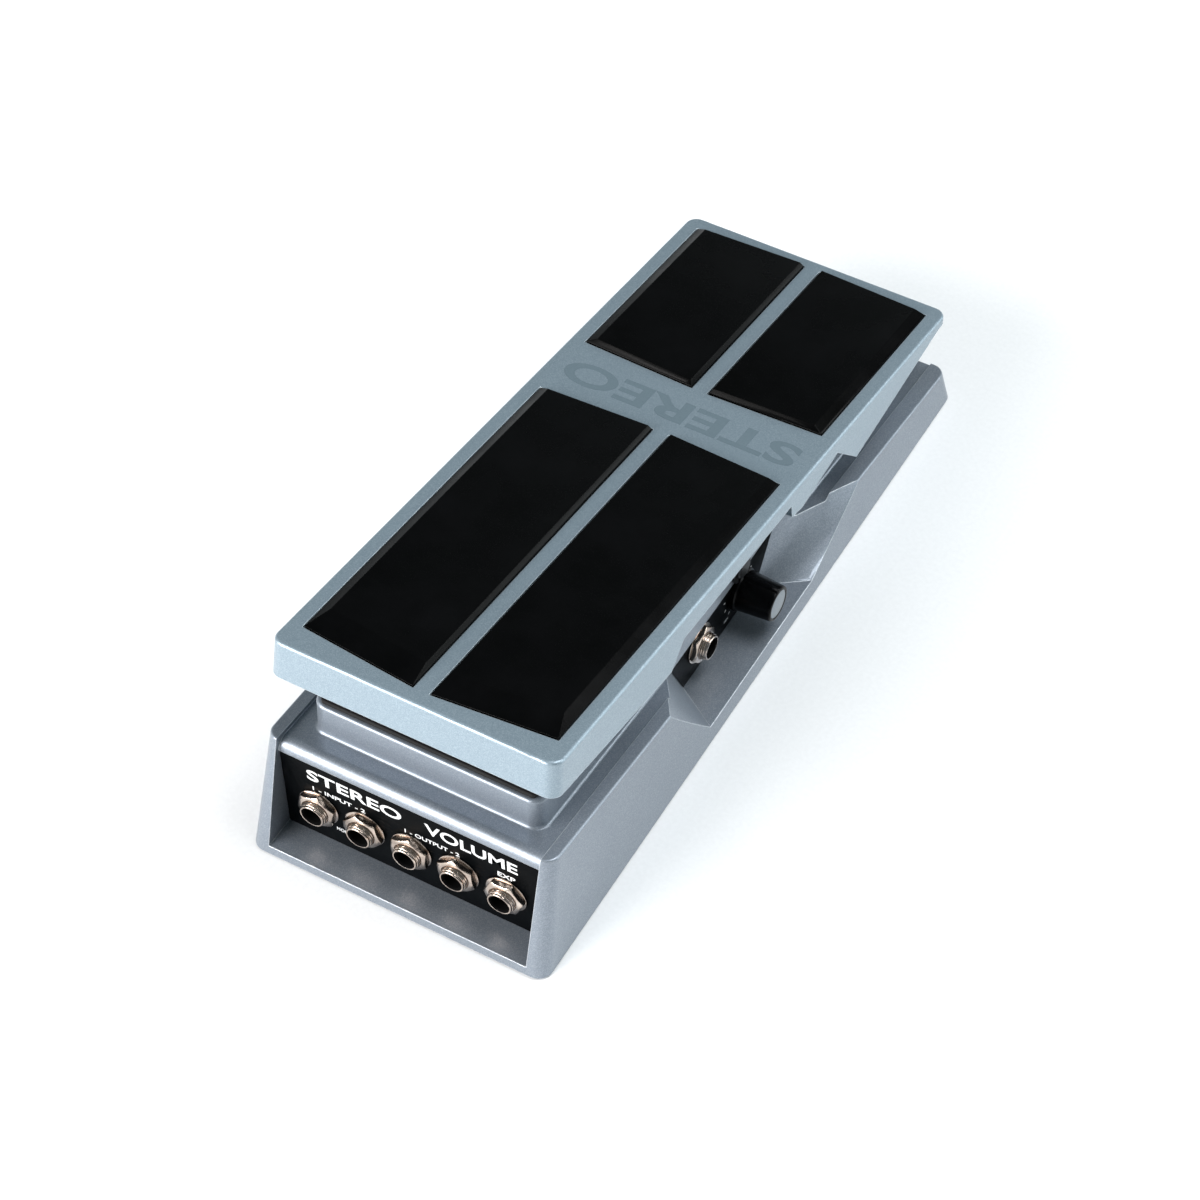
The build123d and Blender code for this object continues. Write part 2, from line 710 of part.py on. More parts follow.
with BuildPart() as treadle_casting:
    for depth in (0.0, skirt_depth):
        with BuildSketch(top_plane.offset(-depth)):
            with Locations((0, treadle_length / 2)):
                RectangleRounded(
                    treadle_width + 2 * skirt_flare * depth,
                    treadle_length + 2 * skirt_flare * depth,
                    treadle_corner,
                )
    loft(ruled=True)
    top_face = treadle_casting.faces().sort_by(Axis((0, 0, 0), top_plane.z_dir))[-1]
    fillet(top_face.edges(), 1.1)
    # trim the skirt's lower edge, the same on both sides
    with BuildSketch(side_plane):
        with BuildLine():
            Polyline(*edge_line, (278.0, -40.0), (-6.0, -40.0), close=True)
        make_face()
    extrude(amount=80, both=True, mode=Mode.SUBTRACT)
    # hollow below the plate
    with BuildSketch(top_plane.offset(-treadle_plate)):
        with Locations((0, treadle_length / 2)):
            RectangleRounded(treadle_width - 2 * skirt_wall, treadle_length - 2 * skirt_wall, 2.0)
    extrude(amount=-60, mode=Mode.SUBTRACT)
    # stiffening ribs under the plate
    with BuildSketch(top_plane.offset(-treadle_plate + 0.5)):
        for x in (-33.0, 33.0):
            with Locations((x, 24.0 + (treadle_length - 30.0) / 2)):
                Rectangle(1.6, treadle_length - 30.0)
        for s in (42.0, 80.0, 172.0, 215.0):
            with Locations((0, s)):
                Rectangle(treadle_width - 7, 1.6)
    extrude(amount=-1.8)
    # pad pockets
    for shape in (toe_pad, heel_pad):
        for side in (-1, 1):
            with BuildSketch(top_plane.offset(-pad_pocket)):
                with BuildLine():
                    Polyline(*pad_corners(shape, side, grow=pad_groove), close=True)
                make_face()
            extrude(amount=5, mode=Mode.SUBTRACT)
    # two lugs that reach down through the roof slot to the pivot shaft
    lug_s = (pivot_y - treadle_toe_y) * cos(tilt) + 4.0
    foot_left = local_to_world(lug_s - 15, -treadle_plate + 0.4)
    foot_right = local_to_world(lug_s + 9, -treadle_plate + 0.4)
    for side in (-1, 1):
        with BuildSketch(along_x(0, 0, side * lug_x[0])):
            with BuildLine():
                Polyline(
                    foot_left,
                    foot_right,
                    (pivot_y + 8.5, pivot_z + 1.0),
                    (pivot_y - 8.5, pivot_z + 1.0),
                    close=True,
                )
            make_face()
            with Locations((pivot_y, pivot_z)):
                Circle(8.55)
                Circle(6.0, mode=Mode.SUBTRACT)
        extrude(amount=side * (lug_x[1] - lug_x[0]))
    for dy, dz in sector_screw_spots:
        with Locations((-lug_x[0] - 2.5, pivot_y + dy, pivot_z + dz)):
            Cylinder(pilot_r, 5.2, rotation=(0, 90, 0), mode=Mode.SUBTRACT)
finish(treadle_casting, "treadle_casting")


def pad(shape, side, label):
    """A moulded rubber pad: bevelled wide at the toe and outer sides, narrow elsewhere."""
    near_bevel = 9.5 if shape is toe_pad else 1.2
    with BuildPart() as rubber:
        with BuildSketch(top_plane.offset(-pad_pocket + gap)):
            with BuildLine():
                Polyline(*pad_corners(shape, side), close=True)
            make_face()
        extrude(amount=pad_pocket + 0.3)
        with BuildSketch(top_plane.offset(0.3)):
            with BuildLine():
                Polyline(*pad_corners(shape, side), close=True)
            make_face()
        with BuildSketch(top_plane.offset(pad_height)):
            with BuildLine():
                top = pad_corners(shape, side, near_cut=near_bevel, outer_cut=3.4, cut=1.0)
                Polyline(*top, close=True)
            make_face()
        loft(ruled=True)
    finish(rubber, label)


pad(toe_pad, -1, "toe_pad_left")
pad(toe_pad, 1, "toe_pad_right")
pad(heel_pad, -1, "heel_pad_left")
pad(heel_pad, 1, "heel_pad_right")

for side, label in ((-1, "pivot_bush_left"), (1, "pivot_bush_right")):
    with BuildPart() as bush:
        with BuildSketch(along_x(pivot_y, pivot_z, side * lug_x[0])):
            Circle(5.98)
            Circle(shaft_r + 0.05, mode=Mode.SUBTRACT)
        extrude(amount=side * (lug_x[1] - lug_x[0] + 0.1))
        with BuildSketch(along_x(pivot_y, pivot_z, side * (lug_x[1] + 0.02))):
            Circle(7.8)
            Circle(shaft_r + 0.05, mode=Mode.SUBTRACT)
        extrude(amount=side * 1.0)
    finish(bush, label)


# ---------------------------------------------------------------- gears
def tooth_profile(teeth, root_r, tip_r):
    """Half outline of one tooth, root to tip, as (radius, half angle) pairs of an involute."""
    pitch_r = gear_module * teeth / 2
    base_r = pitch_r * cos(radians(pressure_angle))
    unwind = lambda r: tan(acos(min(1.0, base_r / r))) - acos(min(1.0, base_r / r))
    half_at_pitch = pi / (2 * teeth) - gear_backlash / (4 * pitch_r)
    first_r = max(root_r, base_r)
    radii = [root_r] + [first_r + (tip_r - first_r) * step / 4 for step in range(1, 5)]
    return [(r, half_at_pitch + unwind(pitch_r) - unwind(r)) for r in radii]


def tooth_points(teeth, root_r, tip_r, angle):
    """Closed outline of one tooth centred on the given angle, in radians."""
    flank = tooth_profile(teeth, root_r, tip_r)
    inner_r = root_r - 0.3
    rising = [(inner_r, flank[0][1])] + flank
    sides = [(r, angle - half) for r, half in rising] + [(r, angle + half) for r, half in reversed(rising)]
    return [(r * cos(a), r * sin(a)) for r, a in sides]


# angles are measured in the YZ plane from +Y towards +Z; the pinion lies beyond the toe side
mesh_direction = pi + radians(mesh_angle)
sector_pitch = 2 * pi / sector_full_teeth
sector_tip_r = sector_r + 0.9 * gear_module
sector_root_r = sector_r - 1.2 * gear_module
pinion_tip_r = pinion_r + 0.95 * gear_module
pinion_root_r = pinion_r - 1.2 * gear_module
tooth_steps = range(-7, 4)

with BuildPart() as sector_gear:
    with BuildSketch(along_x(pivot_y, pivot_z, sector_x[0] + 0.02)):
        first = mesh_direction + (tooth_steps[0] - 0.6) * sector_pitch
        last = mesh_direction + (tooth_steps[-1] + 0.6) * sector_pitch
        with BuildLine():
            ring_start = (sector_root_r * cos(first), sector_root_r * sin(first))
            ring_middle = (sector_root_r * cos((first + last) / 2), sector_root_r * sin((first + last) / 2))
            ring_end = (sector_root_r * cos(last), sector_root_r * sin(last))
            ThreePointArc(ring_start, ring_middle, ring_end)
            Polyline(ring_end, (-6.0, -6.2), (2.0, -8.2), (7.5, 17.0), (-7.5, 18.0), (-9.0, 5.0), ring_start)
        make_face()
        Circle(8.2)
        Circle(shaft_r + 0.6, mode=Mode.SUBTRACT)
        with Locations(*sector_screw_spots):
            Circle(screw_clear_r, mode=Mode.SUBTRACT)
        for step in tooth_steps:
            with BuildLine():
                outline = tooth_points(
                    sector_full_teeth, sector_root_r, sector_tip_r, mesh_direction + step * sector_pitch
                )
                Polyline(*outline, close=True)
            make_face()
    extrude(amount=sector_x[1] - sector_x[0] - 0.02)
    # lightening window in the arm
    with BuildSketch(along_x(pivot_y, pivot_z, sector_x[0])):
        with BuildLine():
            Polyline((-16, -0.5), (-46, -1.5), (-43.5, -14.0), (-16, -5.5), close=True)
        make_face()
    extrude(amount=5, mode=Mode.SUBTRACT)
finish(sector_gear, "sector_gear")

with BuildPart() as sector_screws:
    for dy, dz in sector_screw_spots:
        with BuildSketch(along_x(pivot_y + dy, pivot_z + dz, sector_x[1] + 0.02)):
            Circle(2.7)
        extrude(amount=1.5)
        with BuildSketch(along_x(pivot_y + dy, pivot_z + dz, sector_x[1] + 0.1)):
            Circle(screw_r)
        extrude(amount=-7.0)
finish(sector_screws, "sector_screws")

with BuildPart() as pinion_gear:
    with BuildSketch(along_x(pot_y, pot_z, sector_x[0] - 0.6)):
        Circle(pinion_root_r)
        for step in range(pinion_teeth):
            with BuildLine():
                outline = tooth_points(
                    pinion_teeth,
                    pinion_root_r,
                    pinion_tip_r,
                    radians(mesh_angle) + (step + 0.5) * 2 * pi / pinion_teeth,
                )
                Polyline(*outline, close=True)
            make_face()
        Circle(control_shaft_r, mode=Mode.SUBTRACT)
    extrude(amount=3.4)
finish(pinion_gear, "pinion_gear")

# ---------------------------------------------------------------- main volume control
bracket_x = (-12.5, -11.0)
bracket_foot_z = 12.0
bracket_top_z = bracket_seat_z - gap
with BuildPart() as volume_pot:
    with BuildSketch(along_x(pot_y, pot_z, bracket_x[1] + 0.02)):
        Circle(8.5)
    extrude(amount=15.0)
    with BuildSketch(along_x(pot_y, pot_z, bracket_x[1] + 0.1)):
        Circle(control_thread_r)
    extrude(amount=-3.4)
    with BuildSketch(along_x(pot_y, pot_z, bracket_x[0] - 4)):
        Circle(control_shaft_r + 0.06)
    extrude(amount=8.0, mode=Mode.SUBTRACT)
    with BuildSketch(along_x(pot_y - 8.0, pot_z - 1.0, bracket_x[1] + 5)):
        Rectangle(5.0, 9.0)
    extrude(amount=1.2)
finish(volume_pot, "volume_pot")
hex_nut(
    [along_x(pot_y, pot_z, bracket_x[0] - 1.72)],
    "volume_pot_nut",
    flats=control_nut_flats,
    bore=control_thread_r + 0.05,
    thickness=1.7,
)

with BuildPart() as volume_pot_shaft:
    with BuildSketch(along_x(pot_y, pot_z, sector_x[0] - 1.2)):
        Circle(control_shaft_r)
    extrude(amount=bracket_x[0] + 3.8 - sector_x[0] + 1.2)
finish(volume_pot_shaft, "volume_pot_shaft")

with BuildPart() as pot_bracket:
    with BuildSketch(along_x(0, 0, bracket_x[0])):
        with Locations((pot_y, (bracket_foot_z + bracket_top_z) / 2)):
            RectangleRounded(26, bracket_top_z - bracket_foot_z, 1.5)
        with Locations((pot_y, pot_z)):
            Circle(3.65, mode=Mode.SUBTRACT)
    extrude(amount=bracket_x[1] - bracket_x[0])
    with BuildSketch(Plane.XY.offset(bracket_top_z)):
        with Locations(((bracket_x[0] + 2.0) / 2, pot_y)):
            Rectangle(2.0 - bracket_x[0], 26)
        with Locations(*bracket_screw_spots):
            Circle(screw_clear_r, mode=Mode.SUBTRACT)
    extrude(amount=-1.5)
finish(pot_bracket, "pot_bracket")

with BuildPart() as bracket_screws:
    for spot in bracket_screw_spots:
        with BuildSketch(Plane.XY.offset(bracket_top_z - 1.52)):
            with Locations(spot):
                Circle(screw_head_r)
        extrude(amount=-1.8)
        with BuildSketch(Plane.XY.offset(bracket_top_z - 1.58)):
            with Locations(spot):
                Circle(screw_r)
        extrude(amount=5.6)
finish(bracket_screws, "bracket_screws")

# ---------------------------------------------------------------- stops
def stop_strip(y, half_width, depth, height, corner_y, corner_z, slope, label):
    """A rubber strip lying across the tower's roof, which passes through (corner_y, corner_z)."""
    on_roof = Plane(
        origin=(0, y, corner_z + slope * (y - corner_y) + 0.03),
        x_dir=(1, 0, 0),
        z_dir=(0, -slope, 1),
    )
    with BuildPart() as strip:
        with BuildSketch(on_roof):
            RectangleRounded(2 * half_width, depth, 1.5)
        extrude(amount=height)
    finish(strip, label)


roof_rise = (roof_pivot_z - roof_toe_z) / (pivot_y - tower_toe_y)
roof_fall = (roof_heel_z - roof_pivot_z) / (tower_heel_y - pivot_y)
stop_strip(-116.2, 39.0, 6.0, 1.7, pivot_y, roof_pivot_z, roof_rise, "toe_stop")
stop_strip(124.0, 30.0, 8.0, 2.4, pivot_y, roof_pivot_z, roof_fall, "heel_stop")
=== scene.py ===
import json
import math

import bmesh
import bpy
import numpy as np
from mathutils import Matrix, Vector


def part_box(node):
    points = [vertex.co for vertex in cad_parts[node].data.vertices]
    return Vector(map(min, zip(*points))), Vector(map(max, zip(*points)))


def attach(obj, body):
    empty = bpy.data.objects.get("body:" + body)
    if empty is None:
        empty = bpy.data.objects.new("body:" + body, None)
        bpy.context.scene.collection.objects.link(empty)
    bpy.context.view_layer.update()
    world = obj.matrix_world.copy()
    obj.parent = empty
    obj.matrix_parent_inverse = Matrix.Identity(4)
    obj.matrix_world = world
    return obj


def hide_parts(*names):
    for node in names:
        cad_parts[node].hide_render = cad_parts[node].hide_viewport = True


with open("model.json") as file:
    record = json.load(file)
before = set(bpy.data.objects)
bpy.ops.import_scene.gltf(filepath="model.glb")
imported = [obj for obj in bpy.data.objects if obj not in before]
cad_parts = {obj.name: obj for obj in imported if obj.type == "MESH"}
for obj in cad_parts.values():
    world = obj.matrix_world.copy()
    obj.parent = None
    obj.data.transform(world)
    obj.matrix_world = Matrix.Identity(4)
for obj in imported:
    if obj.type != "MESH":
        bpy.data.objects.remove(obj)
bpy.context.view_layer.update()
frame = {"nodes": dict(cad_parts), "record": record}
nodes = frame["nodes"]
mm = 0.001
print("frame loaded with", len(nodes), "pieces")

scene = bpy.context.scene
scene.view_settings.view_transform = "Standard"
scene.view_settings.look = "None"

# camera: a long lens that looks down on the toe end, turned a little to the right-hand side
view = {
    "aim": (-6.84 * mm, -1.77 * mm, 1.69 * mm),
    "distance": 1134.3 * mm,
    "azimuth": 31.09,
    "elevation": 49.98,
    "roll": -1.69,
    "lens": 100.12,
    "sensor": 36.0,
    "clip": (0.05, 20.0),
}


def placeCamera(settings):
    azimuth, elevation, roll = (math.radians(settings[key]) for key in ("azimuth", "elevation", "roll"))
    back = Vector((
        math.sin(azimuth) * math.cos(elevation),
        -math.cos(azimuth) * math.cos(elevation),
        math.sin(elevation),
    ))
    right = Vector((0, 0, 1)).cross(back).normalized()
    up = back.cross(right)
    rolledRight = right * math.cos(roll) + up * math.sin(roll)
    rolledUp = up * math.cos(roll) - right * math.sin(roll)
    data = bpy.data.cameras.new("camera")
    data.lens = settings["lens"]
    data.sensor_width = settings["sensor"]
    data.clip_start, data.clip_end = settings["clip"]
    camera = bpy.data.objects.new("camera", data)
    scene.collection.objects.link(camera)
    turn = Matrix((rolledRight, rolledUp, back)).transposed().to_4x4()
    camera.matrix_world = Matrix.Translation(Vector(settings["aim"]) + back * settings["distance"]) @ turn
    scene.camera = camera


placeCamera(view)

# soft boxes: place, the point they face, width, height, power in watts, colour
softBoxes = {
    "frontBox": ((-0.75, -1.25, 0.6), (0.0, -0.05, 0.03), 1.2, 1.0, 44.0, (1.0, 0.97, 0.955)),
    "overheadBox": ((0.5, 0.4, 1.35), (0.0, 0.0, 0.03), 0.8, 0.8, 16.0, (0.98, 0.99, 1.0)),
    "sideBox": ((1.15, 0.85, 0.5), (0.0, 0.05, 0.03), 1.3, 0.6, 10.0, (0.93, 0.99, 1.0)),
}


def placeSoftBox(name, place, target, width, height, power, colour):
    data = bpy.data.lights.new(name, "AREA")
    data.shape = "RECTANGLE"
    data.size = width
    data.size_y = height
    data.energy = power
    data.color = colour
    light = bpy.data.objects.new(name, data)
    scene.collection.objects.link(light)
    away = Vector(place) - Vector(target)
    light.matrix_world = Matrix.Translation(place) @ away.to_track_quat("Z", "Y").to_matrix().to_4x4()


for boxName, boxSettings in softBoxes.items():
    placeSoftBox(boxName, *boxSettings)
print("camera and", len(softBoxes), "lights placed")


# node and colour helpers
def linear(code):
    # sRGB hex to linear light: c/12.92 below 0.04045, else ((c + 0.055)/1.055)^2.4
    channels = np.array([int(code[i:i + 2], 16) for i in (1, 3, 5)]) / 255.0
    values = np.where(channels <= 0.04045, channels / 12.92, ((channels + 0.055) / 1.055) ** 2.4)
    return (*values.tolist(), 1.0)


def addNode(tree, kind, links=None, values=None, **settings):
    # settings are the node's own properties, values its unlinked sockets, links the sockets that feed it
    node = tree.nodes.new(kind)
    for key, value in settings.items():
        setattr(node, key, value)
    for key, value in (values or {}).items():
        node.inputs[key].default_value = value
    for key, source in (links or {}).items():
        tree.links.new(source, node.inputs[key])
    return node


def startMaterial(name):
    material = bpy.data.materials.new(name)
    material.use_nodes = True
    tree = material.node_tree
    tree.nodes.clear()
    place = addNode(tree, "ShaderNodeTexCoord").outputs["Object"]
    return material, tree, place


def endMaterial(material, tree, shader):
    addNode(tree, "ShaderNodeOutputMaterial", {"Surface": shader.outputs["BSDF"]})
    return material


def stops(node, *points):
    # colour ramp stops: (position, hex colour) pairs
    ramp = node.color_ramp
    while len(ramp.elements) < len(points):
        ramp.elements.new(0.5)
    for element, (position, code) in zip(ramp.elements, points):
        element.position = position
        element.color = linear(code)
    return node


def perMetre(sizeInMillimetres):
    # texture scale that gives features of that size on Object coordinates in metres
    return 1.0 / (sizeInMillimetres * mm)


# finishes, each a function of its own
paint = {
    # the edge colour is painted along the edges: a painted highlight, also standing for the thinner paint
    # there
    "base": {
        "colour": "#858D97", "shadeColour": "#79828C", "flakeColour": "#A0A8B1", "cloudColour": "#7C8691",
        "edgeWearAndHighlightColour": "#DDE3E8", "flake": 0.22, "cloud": 26.0, "edge": 0.45, "peel": 1.3, "roughness": 0.35,
        "metallic": 0.55, "lacquer": 0.15,
    },
    "treadle": {
        "colour": "#8B9CA8", "shadeColour": "#80919D", "flakeColour": "#A5B5BF", "cloudColour": "#8598A4",
        "edgeWearAndHighlightColour": "#D6E2EA", "flake": 0.22, "cloud": 34.0, "edge": 0.45, "peel": 1.3, "roughness": 0.42,
        "metallic": 0.55, "lacquer": 0.55,
    },
}


def castPaint(name, settings):
    # stove enamel with aluminium flake over a die casting: a quiet sparkle, a faint orange peel that
    # bends the reflections, slow clouds from the spray gun, and edges painted lighter, partly for the thin
    # film there and partly as a painted highlight along them. Real flakes are about 0.03 mm; they are drawn
    # several times coarser so that they show.
    material, tree, place = startMaterial(name)
    flake = addNode(
        tree, "ShaderNodeTexVoronoi", {"Vector": place}, {"Scale": perMetre(settings["flake"])},
    )
    tint = stops(
        addNode(tree, "ShaderNodeValToRGB", {"Fac": flake.outputs["Color"]}),
        (0.1, settings["shadeColour"]), (0.5, settings["colour"]), (0.98, settings["flakeColour"]),
    )
    cloud = addNode(
        tree, "ShaderNodeTexNoise", {"Vector": place},
        {"Scale": perMetre(settings["cloud"]), "Detail": 3.0, "Roughness": 0.55},
    )
    soften = addNode(tree, "ShaderNodeMath", {0: cloud.outputs["Fac"]}, {1: 0.4}, operation="MULTIPLY")
    clouded = addNode(
        tree, "ShaderNodeMix", {"Factor": soften.outputs[0], 6: tint.outputs["Color"]},
        {7: linear(settings["cloudColour"])}, data_type="RGBA",
    )
    rounded = addNode(tree, "ShaderNodeBevel", None, {"Radius": settings["edge"] * mm}, samples=6)
    faceNormal = addNode(tree, "ShaderNodeNewGeometry").outputs["Normal"]
    closeness = addNode(
        tree, "ShaderNodeVectorMath", {0: rounded.outputs["Normal"], 1: faceNormal}, operation="DOT_PRODUCT",
    )
    wearAndHighlightBreakup = addNode(
        tree, "ShaderNodeTexNoise", {"Vector": place},
        {"Scale": perMetre(3.0), "Detail": 4.0, "Roughness": 0.65},
    )
    # painted highlight: the colour is lightened towards the edge colour near the edges, also for the thinner
    # paint there, broken up by noise
    edgeWearAndHighlightShare = addNode(
        tree, "ShaderNodeMapRange", {"Value": closeness.outputs["Value"]},
        {"From Min": 0.995, "From Max": 0.9, "To Min": 0.0, "To Max": 1.7},
    )
    edgeWearAndHighlightMask = addNode(
        tree, "ShaderNodeMath", {0: edgeWearAndHighlightShare.outputs["Result"], 1: wearAndHighlightBreakup.outputs["Fac"]},
        operation="MULTIPLY", use_clamp=True,
    )
    coloured = addNode(
        tree, "ShaderNodeMix", {"Factor": edgeWearAndHighlightMask.outputs[0], 6: clouded.outputs[2]},
        {7: linear(settings["edgeWearAndHighlightColour"])}, data_type="RGBA",
    )
    peel = addNode(
        tree, "ShaderNodeTexNoise", {"Vector": place},
        {"Scale": perMetre(settings["peel"]), "Detail": 2.0},
    )
    peelBump = addNode(
        tree, "ShaderNodeBump", {"Height": peel.outputs["Fac"], "Normal": rounded.outputs["Normal"]},
        {"Strength": 0.1, "Distance": 0.1 * mm},
    )
    flakeBump = addNode(
        tree, "ShaderNodeBump", {"Height": flake.outputs["Color"], "Normal": peelBump.outputs["Normal"]},
        {"Strength": 0.25, "Distance": 0.02 * mm},
    )
    gloss = addNode(
        tree, "ShaderNodeMapRange", {"Value": cloud.outputs["Fac"]},
        {"To Min": settings["roughness"] - 0.04, "To Max": settings["roughness"] + 0.06},
    )
    shader = addNode(
        tree, "ShaderNodeBsdfPrincipled",
        {"Base Color": coloured.outputs[2], "Roughness": gloss.outputs["Result"],
         "Normal": flakeBump.outputs["Normal"]},
        {"Metallic": settings["metallic"], "Coat Weight": settings["lacquer"], "Coat Roughness": 0.22},
    )
    return endMaterial(material, tree, shader)


def mouldedRubberPad(name):
    # compression-moulded black nitrile rubber: deep black with a low, soft sheen that is patchy where
    # shoes have rubbed it, and a fine eroded-mould grain that only shows at a grazing angle
    material, tree, place = startMaterial(name)
    grain = addNode(
        tree, "ShaderNodeTexNoise", {"Vector": place},
        {"Scale": perMetre(0.35), "Detail": 3.0, "Roughness": 0.6},
    )
    rubbed = addNode(
        tree, "ShaderNodeTexNoise", {"Vector": place},
        {"Scale": perMetre(22.0), "Detail": 4.0, "Roughness": 0.6},
    )
    tint = stops(
        addNode(tree, "ShaderNodeValToRGB", {"Fac": rubbed.outputs["Fac"]}),
        (0.3, "#010101"), (0.75, "#040405"),
    )
    gloss = addNode(
        tree, "ShaderNodeMapRange", {"Value": rubbed.outputs["Fac"]},
        {"From Min": 0.3, "From Max": 0.7, "To Min": 0.22, "To Max": 0.34},
    )
    rounded = addNode(tree, "ShaderNodeBevel", None, {"Radius": 0.35 * mm}, samples=6)
    bump = addNode(
        tree, "ShaderNodeBump", {"Height": grain.outputs["Fac"], "Normal": rounded.outputs["Normal"]},
        {"Strength": 0.12, "Distance": 0.05 * mm},
    )
    shader = addNode(
        tree, "ShaderNodeBsdfPrincipled",
        {"Base Color": tint.outputs["Color"], "Roughness": gloss.outputs["Result"],
         "Normal": bump.outputs["Normal"]},
        {"Specular IOR Level": 0.09},
    )
    return endMaterial(material, tree, shader)


def blackSilkEnamel(name):
    # baked silk-gloss enamel on pressed steel sheet: near black, with a tight powder texture and fine
    # dust
    material, tree, place = startMaterial(name)
    powder = addNode(
        tree, "ShaderNodeTexVoronoi", {"Vector": place}, {"Scale": perMetre(0.5), "Smoothness": 1.0},
        feature="SMOOTH_F1",
    )
    dust = addNode(
        tree, "ShaderNodeTexNoise", {"Vector": place},
        {"Scale": perMetre(7.0), "Detail": 5.0, "Roughness": 0.7},
    )
    tint = stops(
        addNode(tree, "ShaderNodeValToRGB", {"Fac": dust.outputs["Fac"]}),
        (0.35, "#020304"), (0.8, "#06080A"),
    )
    bump = addNode(
        tree, "ShaderNodeBump", {"Height": powder.outputs["Distance"]},
        {"Strength": 0.1, "Distance": 0.05 * mm},
    )
    gloss = addNode(
        tree, "ShaderNodeMapRange", {"Value": dust.outputs["Fac"]},
        {"From Min": 0.3, "From Max": 0.7, "To Min": 0.3, "To Max": 0.4},
    )
    shader = addNode(
        tree, "ShaderNodeBsdfPrincipled",
        {"Base Color": tint.outputs["Color"], "Roughness": gloss.outputs["Result"],
         "Normal": bump.outputs["Normal"]},
        {"Specular IOR Level": 0.03},
    )
    return endMaterial(material, tree, shader)


def brightNickelPlate(name):
    # barrel-plated nickel over brass: warm and mirror-like, with hairline polishing marks, a slightly
    # uneven gloss and a brown bloom in patches
    material, tree, place = startMaterial(name)
    marks = addNode(tree, "ShaderNodeMapping", {"Vector": place}, {"Scale": (1.0, 1.0, 9.0)})
    hairlines = addNode(
        tree, "ShaderNodeTexNoise", {"Vector": marks.outputs["Vector"]},
        {"Scale": perMetre(0.9), "Detail": 5.0, "Roughness": 0.7},
    )
    bloom = addNode(
        tree, "ShaderNodeTexNoise", {"Vector": place},
        {"Scale": perMetre(4.0), "Detail": 3.0, "Roughness": 0.6},
    )
    tint = stops(
        addNode(tree, "ShaderNodeValToRGB", {"Fac": bloom.outputs["Fac"]}),
        (0.3, "#9C8F86"), (0.55, "#CABBAF"), (0.75, "#E6DCD2"),
    )
    bump = addNode(
        tree, "ShaderNodeBump", {"Height": hairlines.outputs["Fac"]},
        {"Strength": 0.06, "Distance": 0.03 * mm},
    )
    gloss = addNode(
        tree, "ShaderNodeMapRange", {"Value": hairlines.outputs["Fac"]},
        {"From Min": 0.3, "From Max": 0.7, "To Min": 0.13, "To Max": 0.24},
    )
    shader = addNode(
        tree, "ShaderNodeBsdfPrincipled",
        {"Base Color": tint.outputs["Color"], "Roughness": gloss.outputs["Result"],
         "Normal": bump.outputs["Normal"]},
        {"Metallic": 1.0},
    )
    return endMaterial(material, tree, shader)


def paintedBoreShade(name):
    # bore of a socket tube, painted shade: the tube is plated, but its wall is drawn near black for the
    # shade of its unlit inside and for the black moulding deep in it
    material, tree, place = startMaterial(name)
    speck = addNode(
        tree, "ShaderNodeTexNoise", {"Vector": place},
        {"Scale": perMetre(0.4), "Detail": 3.0, "Roughness": 0.6},
    )
    tint = stops(
        addNode(tree, "ShaderNodeValToRGB", {"Fac": speck.outputs["Fac"]}),
        (0.3, "#010101"), (0.8, "#050506"),
    )
    shader = addNode(
        tree, "ShaderNodeBsdfPrincipled", {"Base Color": tint.outputs["Color"]},
        {"Roughness": 0.8, "Specular IOR Level": 0.05},
    )
    return endMaterial(material, tree, shader)


def glassFilledNylonBlack(name):
    # injection-moulded socket body: charcoal with glass fibres that roughen and lighten the skin
    material, tree, place = startMaterial(name)
    drawn = addNode(tree, "ShaderNodeMapping", {"Vector": place}, {"Scale": (1.0, 0.25, 1.0)})
    fibres = addNode(
        tree, "ShaderNodeTexNoise", {"Vector": drawn.outputs["Vector"]},
        {"Scale": perMetre(0.3), "Detail": 4.0, "Roughness": 0.7},
    )
    tint = stops(
        addNode(tree, "ShaderNodeValToRGB", {"Fac": fibres.outputs["Fac"]}),
        (0.35, "#0D0E0F"), (0.7, "#1C1D1E"),
    )
    bump = addNode(
        tree, "ShaderNodeBump", {"Height": fibres.outputs["Fac"]},
        {"Strength": 0.3, "Distance": 0.05 * mm},
    )
    shader = addNode(
        tree, "ShaderNodeBsdfPrincipled",
        {"Base Color": tint.outputs["Color"], "Normal": bump.outputs["Normal"]}, {"Roughness": 0.52},
    )
    return endMaterial(material, tree, shader)


def solderMaskGreen(name):
    # glossy green lacquer over glass cloth: the weave shows through as a faint lattice, drawn coarser
    # than the real cloth so that it shows
    material, tree, place = startMaterial(name)
    warp = addNode(
        tree, "ShaderNodeTexWave", {"Vector": place}, {"Scale": perMetre(4.0)}, bands_direction="X",
    )
    weft = addNode(
        tree, "ShaderNodeTexWave", {"Vector": place}, {"Scale": perMetre(4.0)}, bands_direction="Y",
    )
    weave = addNode(
        tree, "ShaderNodeMath", {0: warp.outputs["Fac"], 1: weft.outputs["Fac"]}, operation="MULTIPLY",
    )
    tint = stops(
        addNode(tree, "ShaderNodeValToRGB", {"Fac": weave.outputs[0]}),
        (0.0, "#1B4C2C"), (1.0, "#2F6E42"),
    )
    bump = addNode(
        tree, "ShaderNodeBump", {"Height": weave.outputs[0]}, {"Strength": 0.15, "Distance": 0.05 * mm},
    )
    shader = addNode(
        tree, "ShaderNodeBsdfPrincipled",
        {"Base Color": tint.outputs["Color"], "Normal": bump.outputs["Normal"]},
        {"Roughness": 0.34, "Coat Weight": 0.4, "Coat Roughness": 0.1},
    )
    return endMaterial(material, tree, shader)


